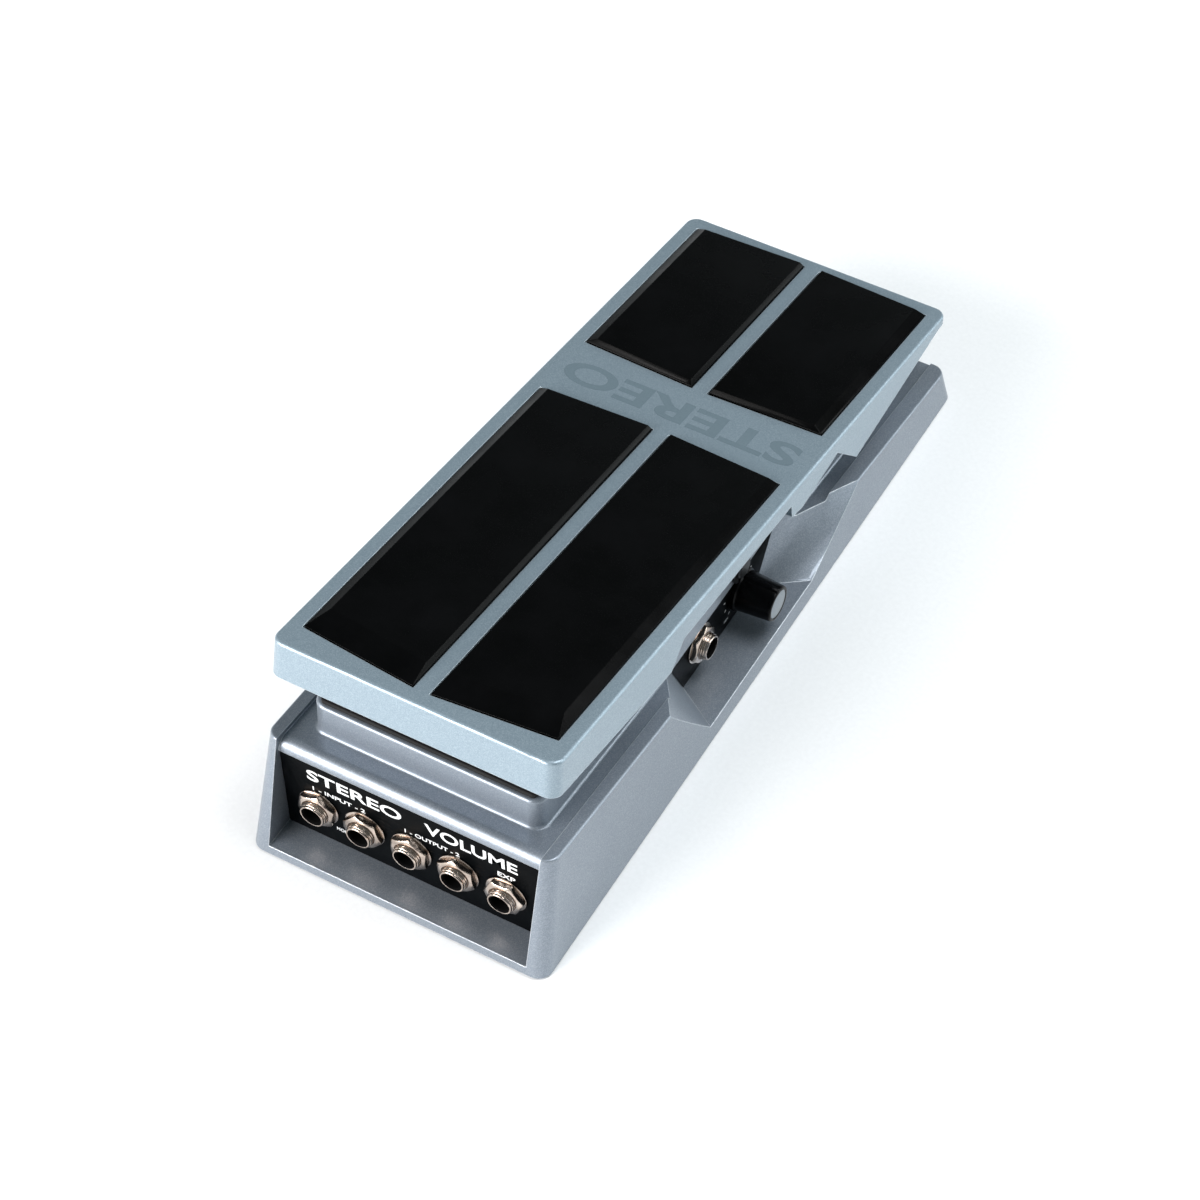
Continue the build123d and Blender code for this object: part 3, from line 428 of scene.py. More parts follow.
def brightZincPlate(name):
    # passivated zinc on steel: cool grey metal with a fine crystalline mottle and a blue-yellow tinge
    material, tree, place = startMaterial(name)
    crystal = addNode(tree, "ShaderNodeTexVoronoi", {"Vector": place}, {"Scale": perMetre(0.45)})
    tint = stops(
        addNode(tree, "ShaderNodeValToRGB", {"Fac": crystal.outputs["Color"]}),
        (0.1, "#A5ABB1"), (0.6, "#BFC4C6"), (0.95, "#CECDC2"),
    )
    gloss = addNode(
        tree, "ShaderNodeMapRange", {"Value": crystal.outputs["Distance"]},
        {"To Min": 0.24, "To Max": 0.38},
    )
    bump = addNode(
        tree, "ShaderNodeBump", {"Height": crystal.outputs["Distance"]},
        {"Strength": 0.08, "Distance": 0.03 * mm},
    )
    shader = addNode(
        tree, "ShaderNodeBsdfPrincipled",
        {"Base Color": tint.outputs["Color"], "Roughness": gloss.outputs["Result"],
         "Normal": bump.outputs["Normal"]},
        {"Metallic": 1.0},
    )
    return endMaterial(material, tree, shader)


def blackZincSheet(name):
    # black-passivated steel sheet: charcoal metal with rolling lines along the sheet and a dull, patchy
    # gloss
    material, tree, place = startMaterial(name)
    rolled = addNode(tree, "ShaderNodeMapping", {"Vector": place}, {"Scale": (1.0, 0.05, 1.0)})
    lines = addNode(
        tree, "ShaderNodeTexNoise", {"Vector": rolled.outputs["Vector"]},
        {"Scale": perMetre(0.6), "Detail": 4.0, "Roughness": 0.6},
    )
    tint = stops(
        addNode(tree, "ShaderNodeValToRGB", {"Fac": lines.outputs["Fac"]}),
        (0.3, "#18191B"), (0.75, "#2B2D30"),
    )
    gloss = addNode(
        tree, "ShaderNodeMapRange", {"Value": lines.outputs["Fac"]},
        {"From Min": 0.3, "From Max": 0.7, "To Min": 0.36, "To Max": 0.5},
    )
    shader = addNode(
        tree, "ShaderNodeBsdfPrincipled",
        {"Base Color": tint.outputs["Color"], "Roughness": gloss.outputs["Result"]}, {"Metallic": 0.5},
    )
    return endMaterial(material, tree, shader)


def pressedRubberSheet(name):
    # anti-slip sheet rubber: dusty charcoal, fully matt, with a cloth imprint from the press
    material, tree, place = startMaterial(name)
    cloth = addNode(
        tree, "ShaderNodeTexVoronoi", {"Vector": place}, {"Scale": perMetre(0.7), "Randomness": 0.25},
    )
    dust = addNode(
        tree, "ShaderNodeTexNoise", {"Vector": place},
        {"Scale": perMetre(9.0), "Detail": 5.0, "Roughness": 0.7},
    )
    tint = stops(
        addNode(tree, "ShaderNodeValToRGB", {"Fac": dust.outputs["Fac"]}),
        (0.35, "#0E0E0F"), (0.8, "#1D1D1D"),
    )
    bump = addNode(
        tree, "ShaderNodeBump", {"Height": cloth.outputs["Distance"]},
        {"Strength": 0.4, "Distance": 0.1 * mm},
    )
    shader = addNode(
        tree, "ShaderNodeBsdfPrincipled",
        {"Base Color": tint.outputs["Color"], "Normal": bump.outputs["Normal"]},
        {"Roughness": 0.78, "Specular IOR Level": 0.3},
    )
    return endMaterial(material, tree, shader)


def blackOxideSteel(name):
    # black-oxide treated steel pin and clips: blue-black metal with an oily, uneven sheen and turning
    # rings
    material, tree, place = startMaterial(name)
    rings = addNode(tree, "ShaderNodeMapping", {"Vector": place}, {"Scale": (9.0, 0.3, 0.3)})
    lay = addNode(
        tree, "ShaderNodeTexNoise", {"Vector": rings.outputs["Vector"]},
        {"Scale": perMetre(1.0), "Detail": 4.0, "Roughness": 0.6},
    )
    oil = addNode(
        tree, "ShaderNodeTexNoise", {"Vector": place},
        {"Scale": perMetre(2.5), "Detail": 3.0, "Roughness": 0.6},
    )
    tint = stops(
        addNode(tree, "ShaderNodeValToRGB", {"Fac": oil.outputs["Fac"]}),
        (0.3, "#141619"), (0.7, "#26292D"),
    )
    gloss = addNode(
        tree, "ShaderNodeMapRange", {"Value": oil.outputs["Fac"]},
        {"From Min": 0.3, "From Max": 0.7, "To Min": 0.3, "To Max": 0.45},
    )
    bump = addNode(
        tree, "ShaderNodeBump", {"Height": lay.outputs["Fac"]}, {"Strength": 0.1, "Distance": 0.03 * mm},
    )
    shader = addNode(
        tree, "ShaderNodeBsdfPrincipled",
        {"Base Color": tint.outputs["Color"], "Roughness": gloss.outputs["Result"],
         "Normal": bump.outputs["Normal"]},
        {"Metallic": 0.8},
    )
    return endMaterial(material, tree, shader)


def sinteredBronze(name):
    # oil-filled sintered bronze: open dark pores in a dull gold-brown metal
    material, tree, place = startMaterial(name)
    pores = addNode(tree, "ShaderNodeTexVoronoi", {"Vector": place}, {"Scale": perMetre(0.25)})
    tint = stops(
        addNode(tree, "ShaderNodeValToRGB", {"Fac": pores.outputs["Distance"]}),
        (0.08, "#4E3A1E"), (0.4, "#AD8B50"),
    )
    bump = addNode(
        tree, "ShaderNodeBump", {"Height": pores.outputs["Distance"]},
        {"Strength": 0.35, "Distance": 0.05 * mm},
    )
    shader = addNode(
        tree, "ShaderNodeBsdfPrincipled",
        {"Base Color": tint.outputs["Color"], "Normal": bump.outputs["Normal"]},
        {"Metallic": 0.9, "Roughness": 0.42},
    )
    return endMaterial(material, tree, shader)


def vulcanisedFibre(name):
    # red-brown vulcanised fibre washer: papery, flecked and matt
    material, tree, place = startMaterial(name)
    paper = addNode(
        tree, "ShaderNodeTexNoise", {"Vector": place},
        {"Scale": perMetre(0.5), "Detail": 6.0, "Roughness": 0.75},
    )
    tint = stops(
        addNode(tree, "ShaderNodeValToRGB", {"Fac": paper.outputs["Fac"]}),
        (0.3, "#43261B"), (0.7, "#6C4330"),
    )
    bump = addNode(
        tree, "ShaderNodeBump", {"Height": paper.outputs["Fac"]},
        {"Strength": 0.25, "Distance": 0.05 * mm},
    )
    shader = addNode(
        tree, "ShaderNodeBsdfPrincipled",
        {"Base Color": tint.outputs["Color"], "Normal": bump.outputs["Normal"]}, {"Roughness": 0.62},
    )
    return endMaterial(material, tree, shader)


def mouldedNaturalNylon(name):
    # unpigmented nylon gear: milky ivory that lets a little light in, with a waxy sheen
    material, tree, place = startMaterial(name)
    milk = addNode(
        tree, "ShaderNodeTexNoise", {"Vector": place},
        {"Scale": perMetre(3.0), "Detail": 3.0, "Roughness": 0.5},
    )
    tint = stops(
        addNode(tree, "ShaderNodeValToRGB", {"Fac": milk.outputs["Fac"]}),
        (0.3, "#CCC7B3"), (0.7, "#E2DECE"),
    )
    shader = addNode(
        tree, "ShaderNodeBsdfPrincipled", {"Base Color": tint.outputs["Color"]},
        {"Roughness": 0.4, "Subsurface Weight": 0.25, "Subsurface Scale": 1.0 * mm, "IOR": 1.53},
    )
    return endMaterial(material, tree, shader)


def pressedTinnedSteel(name):
    # deep-drawn tinned can: soft silver with drawing streaks along its wall
    material, tree, place = startMaterial(name)
    drawn = addNode(tree, "ShaderNodeMapping", {"Vector": place}, {"Scale": (0.1, 1.0, 1.0)})
    streaks = addNode(
        tree, "ShaderNodeTexNoise", {"Vector": drawn.outputs["Vector"]},
        {"Scale": perMetre(0.7), "Detail": 4.0, "Roughness": 0.65},
    )
    tint = stops(
        addNode(tree, "ShaderNodeValToRGB", {"Fac": streaks.outputs["Fac"]}),
        (0.3, "#999DA0"), (0.7, "#C0C3C5"),
    )
    gloss = addNode(
        tree, "ShaderNodeMapRange", {"Value": streaks.outputs["Fac"]},
        {"From Min": 0.3, "From Max": 0.7, "To Min": 0.24, "To Max": 0.38},
    )
    shader = addNode(
        tree, "ShaderNodeBsdfPrincipled",
        {"Base Color": tint.outputs["Color"], "Roughness": gloss.outputs["Result"]}, {"Metallic": 1.0},
    )
    return endMaterial(material, tree, shader)


def polishedBlackPhenolic(name):
    # compression-moulded phenolic knob: jet black and polished, with finger haze in its gloss
    material, tree, place = startMaterial(name)
    haze = addNode(
        tree, "ShaderNodeTexNoise", {"Vector": place},
        {"Scale": perMetre(5.0), "Detail": 4.0, "Roughness": 0.6},
    )
    tint = stops(
        addNode(tree, "ShaderNodeValToRGB", {"Fac": haze.outputs["Fac"]}),
        (0.3, "#020203"), (0.8, "#070708"),
    )
    gloss = addNode(
        tree, "ShaderNodeMapRange", {"Value": haze.outputs["Fac"]},
        {"From Min": 0.3, "From Max": 0.7, "To Min": 0.16, "To Max": 0.27},
    )
    shader = addNode(
        tree, "ShaderNodeBsdfPrincipled",
        {"Base Color": tint.outputs["Color"], "Roughness": gloss.outputs["Result"]},
        {"Specular IOR Level": 0.08},
    )
    return endMaterial(material, tree, shader)


def spunAluminium(name):
    # spun aluminium inlay: pale metal with turning lines that spread the light into a soft fan
    material, tree, place = startMaterial(name)
    lines = addNode(
        tree, "ShaderNodeTexNoise", {"Vector": place},
        {"Scale": perMetre(0.3), "Detail": 5.0, "Roughness": 0.7},
    )
    tint = stops(
        addNode(tree, "ShaderNodeValToRGB", {"Fac": lines.outputs["Fac"]}),
        (0.3, "#7F878E"), (0.7, "#9CA4AA"),
    )
    bump = addNode(
        tree, "ShaderNodeBump", {"Height": lines.outputs["Fac"]},
        {"Strength": 0.12, "Distance": 0.03 * mm},
    )
    shader = addNode(
        tree, "ShaderNodeBsdfPrincipled",
        {"Base Color": tint.outputs["Color"], "Normal": bump.outputs["Normal"]},
        {"Metallic": 1.0, "Roughness": 0.34},
    )
    return endMaterial(material, tree, shader)


def screenInk(name, dark, light):
    # silk-screened epoxy ink: a dense, slightly chalky film with a soft gloss
    material, tree, place = startMaterial(name)
    film = addNode(
        tree, "ShaderNodeTexNoise", {"Vector": place},
        {"Scale": perMetre(0.35), "Detail": 3.0, "Roughness": 0.6},
    )
    tint = stops(addNode(tree, "ShaderNodeValToRGB", {"Fac": film.outputs["Fac"]}), (0.3, dark), (0.7, light))
    shader = addNode(
        tree, "ShaderNodeBsdfPrincipled", {"Base Color": tint.outputs["Color"]}, {"Roughness": 0.46},
    )
    return endMaterial(material, tree, shader)


def seamlessPaper(name):
    # pale background paper: even and matt with a barely visible tooth
    material, tree, place = startMaterial(name)
    tooth = addNode(
        tree, "ShaderNodeTexNoise", {"Vector": place},
        {"Scale": perMetre(1.5), "Detail": 3.0, "Roughness": 0.6},
    )
    tint = stops(
        addNode(tree, "ShaderNodeValToRGB", {"Fac": tooth.outputs["Fac"]}),
        (0.3, "#F1F2F3"), (0.7, "#F6F7F8"),
    )
    shader = addNode(
        tree, "ShaderNodeBsdfPrincipled", {"Base Color": tint.outputs["Color"]}, {"Roughness": 0.85},
    )
    return endMaterial(material, tree, shader)


finishes = {
    "base_paint": castPaint("metallicEnamelGrey", paint["base"]),
    "treadle_paint": castPaint("metallicEnamelBlueSilver", paint["treadle"]),
    "pad_rubber": mouldedRubberPad("mouldedRubberPad"),
    "panel_black": blackSilkEnamel("blackSilkEnamel"),
    "nickel": brightNickelPlate("brightNickelPlate"),
    "socket_plastic": glassFilledNylonBlack("glassFilledNylonBlack"),
    "circuit_board": solderMaskGreen("solderMaskGreen"),
    "zinc_steel": brightZincPlate("brightZincPlate"),
    "black_steel": blackZincSheet("blackZincSheet"),
    "sole_rubber": pressedRubberSheet("pressedRubberSheet"),
    "black_oxide": blackOxideSteel("blackOxideSteel"),
    "bronze": sinteredBronze("sinteredBronze"),
    "fibre": vulcanisedFibre("vulcanisedFibre"),
    "gear_nylon": mouldedNaturalNylon("mouldedNaturalNylon"),
    "pot_can": pressedTinnedSteel("pressedTinnedSteel"),
    "knob_plastic": polishedBlackPhenolic("polishedBlackPhenolic"),
    "cap_aluminium": spunAluminium("spunAluminium"),
}
inkFinish = screenInk("screenInkWhite", "#D8DBDD", "#F2F4F5")
bandInkFinish = screenInk("screenInkSlate", "#596972", "#64747D")
# the bores of the sockets get a near-black painted shade
boreShadeFinish = paintedBoreShade("socketBorePaintedShadeBlack")
slotOf = {part["node"]: part["material_slot"] for part in frame["record"]["subparts"]}
for nodeName, node in nodes.items():
    node.data.materials.clear()
    node.data.materials.append(finishes[slotOf[nodeName]])
print(len(finishes), "finishes made and given to the", len(slotOf), "frame pieces")


# mesh helpers
weldWithin = {"surface": 0.002, "frame": 0.001}      # points nearer than this, in mm, become one
smallestWeight = 1e-12                               # keeps a normal of no area from dividing by zero


def gridFaces(rows, columns, closeRows, closeColumns, first):
    # quads between neighbouring grid points; a closed direction joins its last line to its first
    index = first + np.arange(rows * columns).reshape(rows, columns)
    if closeRows:
        index = np.concatenate([index, index[:1]], axis=0)
    if closeColumns:
        index = np.concatenate([index, index[:, :1]], axis=1)
    corners = [index[:-1, :-1], index[1:, :-1], index[1:, 1:], index[:-1, 1:]]
    return np.stack(corners, axis=-1).reshape(-1, 4)


def makePiece(name, surfaces, slotName, body, replaced=(), finish=None, innerShadeFinish=None):
    # surfaces are (grid of points, closeRows, closeColumns, first inner row); together they make closed
    # solids, and the faces from the inner row on take the inner finish, which paints shade on them
    points, faces, inner, first = [], [], [], 0
    for grid, closeRows, closeColumns, innerRow in surfaces:
        rows, columns = grid.shape[:2]
        faces.append(gridFaces(rows, columns, closeRows, closeColumns, first))
        inner.append(np.arange(len(faces[-1])) // columns >= innerRow)
        points.append(grid.reshape(-1, 3))
        first += rows * columns
    mesh = bpy.data.meshes.new(name)
    mesh.from_pydata(np.concatenate(points).tolist(), [], np.concatenate(faces).tolist())
    mesh.materials.append(finish or finishes[slotName])
    if innerShadeFinish:
        mesh.materials.append(innerShadeFinish)
        mesh.polygons.foreach_set("material_index", np.concatenate(inner).astype(int))
    shell = bmesh.new()
    shell.from_mesh(mesh)
    bmesh.ops.remove_doubles(shell, verts=shell.verts, dist=weldWithin["surface"] * mm)
    bmesh.ops.recalc_face_normals(shell, faces=shell.faces)
    shell.to_mesh(mesh)
    shell.free()
    return addPiece(name, mesh, body, replaced)


def keepFlatsFlat(mesh, sharpAngle):
    # corner normal = sum of area * normal over the faces round the vertex that lie within the sharp
    # angle, so that large flat faces stay flat beside the small faces of a fillet
    count = len(mesh.polygons)
    normals, areas = np.empty(count * 3), np.empty(count)
    mesh.polygons.foreach_get("normal", normals)
    mesh.polygons.foreach_get("area", areas)
    normals = normals.reshape(-1, 3)
    corners = np.empty(len(mesh.loops), int)
    mesh.loops.foreach_get("vertex_index", corners)
    sizes = np.empty(count, int)
    mesh.polygons.foreach_get("loop_total", sizes)
    faceOf = np.repeat(np.arange(count), sizes)
    order = np.argsort(corners, kind="stable")
    vertexOf = corners[order]
    starts = np.searchsorted(vertexOf, np.arange(len(mesh.vertices) + 1))
    valence = np.diff(starts)[vertexOf]
    # each corner is paired with every corner of its vertex
    own = np.repeat(np.arange(len(order)), valence)
    other = starts[vertexOf][own] + np.arange(len(own)) - np.repeat(np.cumsum(valence) - valence, valence)
    ownFace, otherFace = faceOf[order[own]], faceOf[order[other]]
    alike = np.einsum("ij,ij->i", normals[ownFace], normals[otherFace]) > math.cos(math.radians(sharpAngle))
    weighted = (alike * areas[otherFace])[:, None] * normals[otherFace]
    result = np.empty((len(corners), 3))
    result[order] = np.stack([np.bincount(own, part, len(order)) for part in weighted.T], axis=1)
    result /= np.maximum(np.linalg.norm(result, axis=1, keepdims=True), smallestWeight)
    mesh.normals_split_custom_set(result.tolist())


rounding = {"flatWithin": 0.5, "segments": 3}


def mergedCopy(nodeName, name, body, bevel=0.0, sharpAngle=30.0):
    # the frame's loose triangles joined into one smooth skin, its straight edges broken by a small round
    mesh = nodes[nodeName].data.copy()
    mesh.name = name
    mesh.transform(nodes[nodeName].matrix_world)
    mesh.materials.clear()
    mesh.materials.append(finishes[slotOf[nodeName]])
    shell = bmesh.new()
    shell.from_mesh(mesh)
    bmesh.ops.remove_doubles(shell, verts=shell.verts, dist=weldWithin["frame"] * mm)
    if bevel:
        bmesh.ops.dissolve_limit(
            shell, angle_limit=math.radians(rounding["flatWithin"]), verts=shell.verts, edges=shell.edges,
        )
    shell.to_mesh(mesh)
    shell.free()
    piece = addPiece(name, mesh, body, [nodeName], 180.0 if bevel else sharpAngle)
    if not bevel:
        keepFlatsFlat(mesh, sharpAngle)
        return piece
    edgeRound = piece.modifiers.new("rounding", "BEVEL")
    edgeRound.harden_normals = True
    edgeRound.width = bevel * mm
    edgeRound.segments = rounding["segments"]
    edgeRound.limit_method = "ANGLE"
    edgeRound.angle_limit = math.radians(sharpAngle)
    return piece


def addPiece(name, mesh, body, replaced=(), sharpAngle=35.0):
    mesh.shade_smooth()
    mesh.set_sharp_from_angle(angle=math.radians(sharpAngle))
    piece = bpy.data.objects.new(name, mesh)
    scene.collection.objects.link(piece)
    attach(piece, body)
    if replaced:
        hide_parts(*replaced)
    return piece


def turned(profile, origin, axis, across, steps=96, reshape=None):
    # a profile of (radius, height) pairs turned round an axis:
    # point = origin + axis * height + (across * cos(angle) + side * sin(angle)) * radius
    radius, height = np.array(profile, float).T * mm
    angle = np.linspace(0.0, 2.0 * np.pi, steps, endpoint=False)
    radius, turn = np.meshgrid(radius, angle, indexing="ij")
    height = np.repeat(height[:, None], steps, axis=1)
    if reshape is not None:
        radius = reshape(radius, height, turn)
    axis, across = np.array(axis, float), np.array(across, float)
    side = np.cross(axis, across)
    spoke = np.cos(turn)[..., None] * across + np.sin(turn)[..., None] * side
    return np.array(origin, float) + height[..., None] * axis + radius[..., None] * spoke


# sockets: threaded tubes, hexagon nuts and washers
tubeShape = {
    "pitch": 0.794, "threadDepth": 0.2, "rim": 0.75, "rimRadius": 4.42, "boreRadius": 3.2, "rowStep": 0.09,
    # (inwards, below the end) for the rim's rounded edge and (outwards, below the end) for the bore's
    # mouth
    "rimEdge": ((0.0, 0.32), (0.07, 0.12), (0.2, 0.0)), "mouth": ((0.62, 0.0), (0.08, 0.55), (0.0, 0.7)),
    # the thread's cut is full below a ridge of (rootEnd - 1) / ramp and gone above rootEnd / ramp
    "rootEnd": 1.15, "ramp": 1.3,
}
nutShape = {
    "flats": 12.7, "chamferAngle": 30.0, "chamferStart": 0.25, "seatLift": 3.0, "rows": 15, "crowding": 0.6,
    "steps": 144, "seatChamfer": 0.25, "mouthWidth": 0.35, "mouthDepth": 0.3, "clearance": 0.02,
}
levelNutShape = {"flats": 10.0, "bore": 3.55, "turn": 0.1}
tunerNutTurn = 0.3
washerShape = {"rounding": 0.18, "corner": 0.3, "boreChamfer": 0.1, "clearance": 0.05}
onWall = 1e-9          # metres; a radius is on the tube's wall when it comes this near to it


def middle(nodeName):
    low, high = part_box(nodeName)
    return (low + high) / 2


def threadedTube(origin, axis, across, length, seat, radius):
    # outer wall: radius - depth * ramp(height / pitch - angle / turn), then a plain rim, the bore and the
    # rear
    shape = tubeShape
    threadTop = length - shape["rim"]
    heights = np.arange(-seat, threadTop, shape["rowStep"])
    outer = [(radius, height) for height in heights]
    rimRadius, bore = shape["rimRadius"], shape["boreRadius"]
    rim = [(rimRadius, threadTop)]
    rim += [(rimRadius - inward, length - below) for inward, below in shape["rimEdge"]]
    # the faces from here on are the bore, which takes the painted shade
    firstInner = len(outer) + len(rim)
    rim += [(bore + outward, length - below) for outward, below in shape["mouth"]] + [(bore, -seat)]

    def cutThread(radii, heightsHere, angle):
        phase = (heightsHere / (shape["pitch"] * mm) - angle / (2 * np.pi)) % 1.0
        ridge = 1.0 - np.abs(2.0 * phase - 1.0)
        depth = shape["threadDepth"] * mm * np.clip(shape["rootEnd"] - shape["ramp"] * ridge, 0.0, 1.0)
        return np.where(radii > radius * mm - onWall, radii - depth, radii)

    return turned(outer + rim, origin, axis, across, reshape=cutThread), True, True, firstInner


def hexagonNut(origin, axis, across, flats, thickness, bore, turn):
    # outer radius = the smaller of the hexagon, apothem / cos(angle from the flat's middle), and the
    # chamfer cone
    shape = nutShape
    slope = 1.0 / math.tan(math.radians(shape["chamferAngle"]))
    # rows crowd towards the two faces, where the chamfer is
    spread = np.linspace(0.0, thickness, shape["rows"]) / thickness * 2 - 1
    heights = (np.sign(spread) * np.abs(spread) ** shape["crowding"] + 1) / 2 * thickness
    outer = [(flats, height) for height in heights]
    profile = [(bore + shape["seatChamfer"], 0.0)] + outer + [
        (bore + shape["mouthWidth"], thickness), (bore, thickness - shape["mouthDepth"]),
        (bore, shape["seatChamfer"]),
    ]

    def cutHexagon(radii, heightsHere, angle):
        fromFlat = (angle + turn + math.pi / 6) % (math.pi / 3) - math.pi / 6
        hexagon = flats / 2 * mm / np.cos(fromFlat)
        fromFace = np.minimum(heightsHere * shape["seatLift"], thickness * mm - heightsHere)
        cone = (flats / 2 - shape["chamferStart"]) * mm + fromFace * slope
        return np.where(radii > flats * mm - onWall, np.minimum(hexagon, cone), radii)

    return turned(profile, origin, axis, across, shape["steps"], cutHexagon), True, True, len(profile)


def flatWasher(origin, axis, across, radius, thickness, bore):
    # both outer edges are rounded by three points each
    edge, chamfer = washerShape["rounding"], washerShape["boreChamfer"]
    corner = washerShape["corner"] * edge
    profile = [
        (bore, 0.0), (radius - edge, 0.0), (radius - corner, corner), (radius, edge),
        (radius, thickness - edge), (radius - corner, thickness - corner), (radius - edge, thickness),
        (bore + chamfer, thickness), (bore, thickness - chamfer),
    ]
    return turned(profile, origin, axis, across), True, True, len(profile)


# castings, panels, pads and stops as smooth skins; an edge is sharp from this angle on, in degrees
castEdge, shallowFacet = 30.0, 8.0
for nodeName, pieceName, bevel in (
    ("base_casting", "base_shell", 0.0), ("rubber_sole", "sole_sheet", 0.0),
    ("jack_panel", "jack_plate", 0.25), ("side_panel", "side_plate", 0.25),
    # the black toe bumper is a real stop, and is also sized to fill the band of shade under the treadle's
    # toe: in part a painted shade
    ("toe_stop", "toe_bumper_shade_band", 0.5), ("heel_stop", "heel_bumper", 0.5),
    ("bottom_plate", "bottom_sheet", 0.0),
):
    mergedCopy(nodeName, pieceName, "base", bevel)
for nodeName, pieceName, bevel in (
    ("treadle_casting", "treadle_shell", 0.0), ("toe_pad_left", "toe_rubber_left", 0.4),
    ("toe_pad_right", "toe_rubber_right", 0.4), ("heel_pad_left", "heel_rubber_left", 0.4),
    ("heel_pad_right", "heel_rubber_right", 0.4),
):
    mergedCopy(nodeName, pieceName, "treadle", bevel, shallowFacet if bevel else castEdge)
print("castings, panels and pads smoothed")

rowSockets = ["input_jack_1", "input_jack_2", "output_jack_1", "output_jack_2", "exp_jack"]
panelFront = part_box("jack_panel")[0].y
tubeLow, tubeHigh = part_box("jack_bushings")
tubeRadius = (tubeHigh.z - tubeLow.z) / 2 / mm
washerLow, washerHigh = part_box("jack_washers")
nutLow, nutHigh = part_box("jack_nuts")
socketZ = (tubeLow.z + tubeHigh.z) / 2
nutTurns = [0.16, 0.72, 0.05, 0.9, 0.42]          # each nut stopped at its own angle
toeward, rightward = (0, -1, 0), (1, 0, 0)
socketXs = [middle(socket).x for socket in rowSockets]

makePiece("jack_bushings_threaded", [
    threadedTube(
        (x, panelFront, socketZ), toeward, rightward, (panelFront - tubeLow.y) / mm,
        (tubeHigh.y - panelFront) / mm, tubeRadius,
    ) for x in socketXs
], "nickel", "base", ["jack_bushings"], innerShadeFinish=boreShadeFinish)
makePiece("jack_nuts_chamfered", [
    hexagonNut((x, nutHigh.y, socketZ), toeward, rightward, nutShape["flats"], (nutHigh.y - nutLow.y) / mm,
               tubeRadius + nutShape["clearance"], turn)
    for x, turn in zip(socketXs, nutTurns)
], "nickel", "base", ["jack_nuts"])
makePiece("jack_washers_rounded", [
    flatWasher((x, washerHigh.y, socketZ), toeward, rightward, (washerHigh.z - washerLow.z) / 2 / mm,
               (washerHigh.y - washerLow.y) / mm, tubeRadius + washerShape["clearance"])
    for x in socketXs
], "nickel", "base", ["jack_washers"])

sideward, heelward, upward = (1, 0, 0), (0, 1, 0), (0, 0, 1)
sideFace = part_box("side_panel")[1].x
tunerLow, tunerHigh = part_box("tuner_jack_bushing")
tunerMiddle = (tunerLow + tunerHigh) / 2
makePiece("tuner_jack_bushing_threaded", [threadedTube(
    (sideFace, tunerMiddle.y, tunerMiddle.z), sideward, heelward, (tunerHigh.x - sideFace) / mm,
    (sideFace - tunerLow.x) / mm, (tunerHigh.z - tunerLow.z) / 2 / mm,
)], "nickel", "base", ["tuner_jack_bushing"], innerShadeFinish=boreShadeFinish)
low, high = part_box("tuner_jack_nut")
makePiece("tuner_jack_nut_chamfered", [hexagonNut(
    (low.x, tunerMiddle.y, tunerMiddle.z), sideward, heelward, nutShape["flats"], (high.x - low.x) / mm,
    tubeRadius + nutShape["clearance"], tunerNutTurn,
)], "nickel", "base", ["tuner_jack_nut"])
low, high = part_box("tuner_jack_washer")
makePiece("tuner_jack_washer_rounded", [flatWasher(
    (low.x, tunerMiddle.y, tunerMiddle.z), sideward, heelward, (high.z - low.z) / 2 / mm,
    (high.x - low.x) / mm, tubeRadius + washerShape["clearance"],
)], "nickel", "base", ["tuner_jack_washer"])
low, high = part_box("min_volume_pot_nut")
levelNutMiddle = middle("min_volume_pot_nut")
makePiece("level_nut_chamfered", [hexagonNut(
    (low.x, levelNutMiddle.y, levelNutMiddle.z), sideward, heelward, levelNutShape["flats"],
    (high.x - low.x) / mm, levelNutShape["bore"], levelNutShape["turn"],
)], "nickel", "base", ["min_volume_pot_nut"])
print("sockets, nuts and washers made")

# level knob: tapered body with a pointer ridge, and a spun cap
knobShape = {
    "skirtRadius": 7.8, "skirtHeight": 1.7, "neckRadius": 7.3, "tipRadius": 6.45, "tipRounding": 0.7,
    "capRecess": 0.8, "capRadius": 5.2, "nutSpace": (6.2, 2.5), "shaftHole": (3.02, 11.0),
    "ridgeHeight": 0.85, "ridgeHalfWidth": 0.85, "ridgeCrown": 1.35, "ridgeFade": 1.6, "ridgeFoot": 0.1,
    "ridgeMargin": 0.45, "skirtEdge": 0.15, "skirtTopEdge": 0.2, "neckRise": 0.3, "bodyRows": 12,
    "arcRows": 6, "arcStart": 0.25, "steps": 192,
}
capShape = {
    "gap": 0.03, "seat": 0.02, "rimDrop": 0.12, "crown": 0.17, "crownShare": 0.95, "rings": 14, "edge": 0.05,
}
knobLow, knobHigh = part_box("min_volume_knob")
shaftMiddle = middle("min_volume_shaft")
knobBase = (knobLow.x, shaftMiddle.y, shaftMiddle.z)
knobLength = (knobHigh.x - knobLow.x) / mm


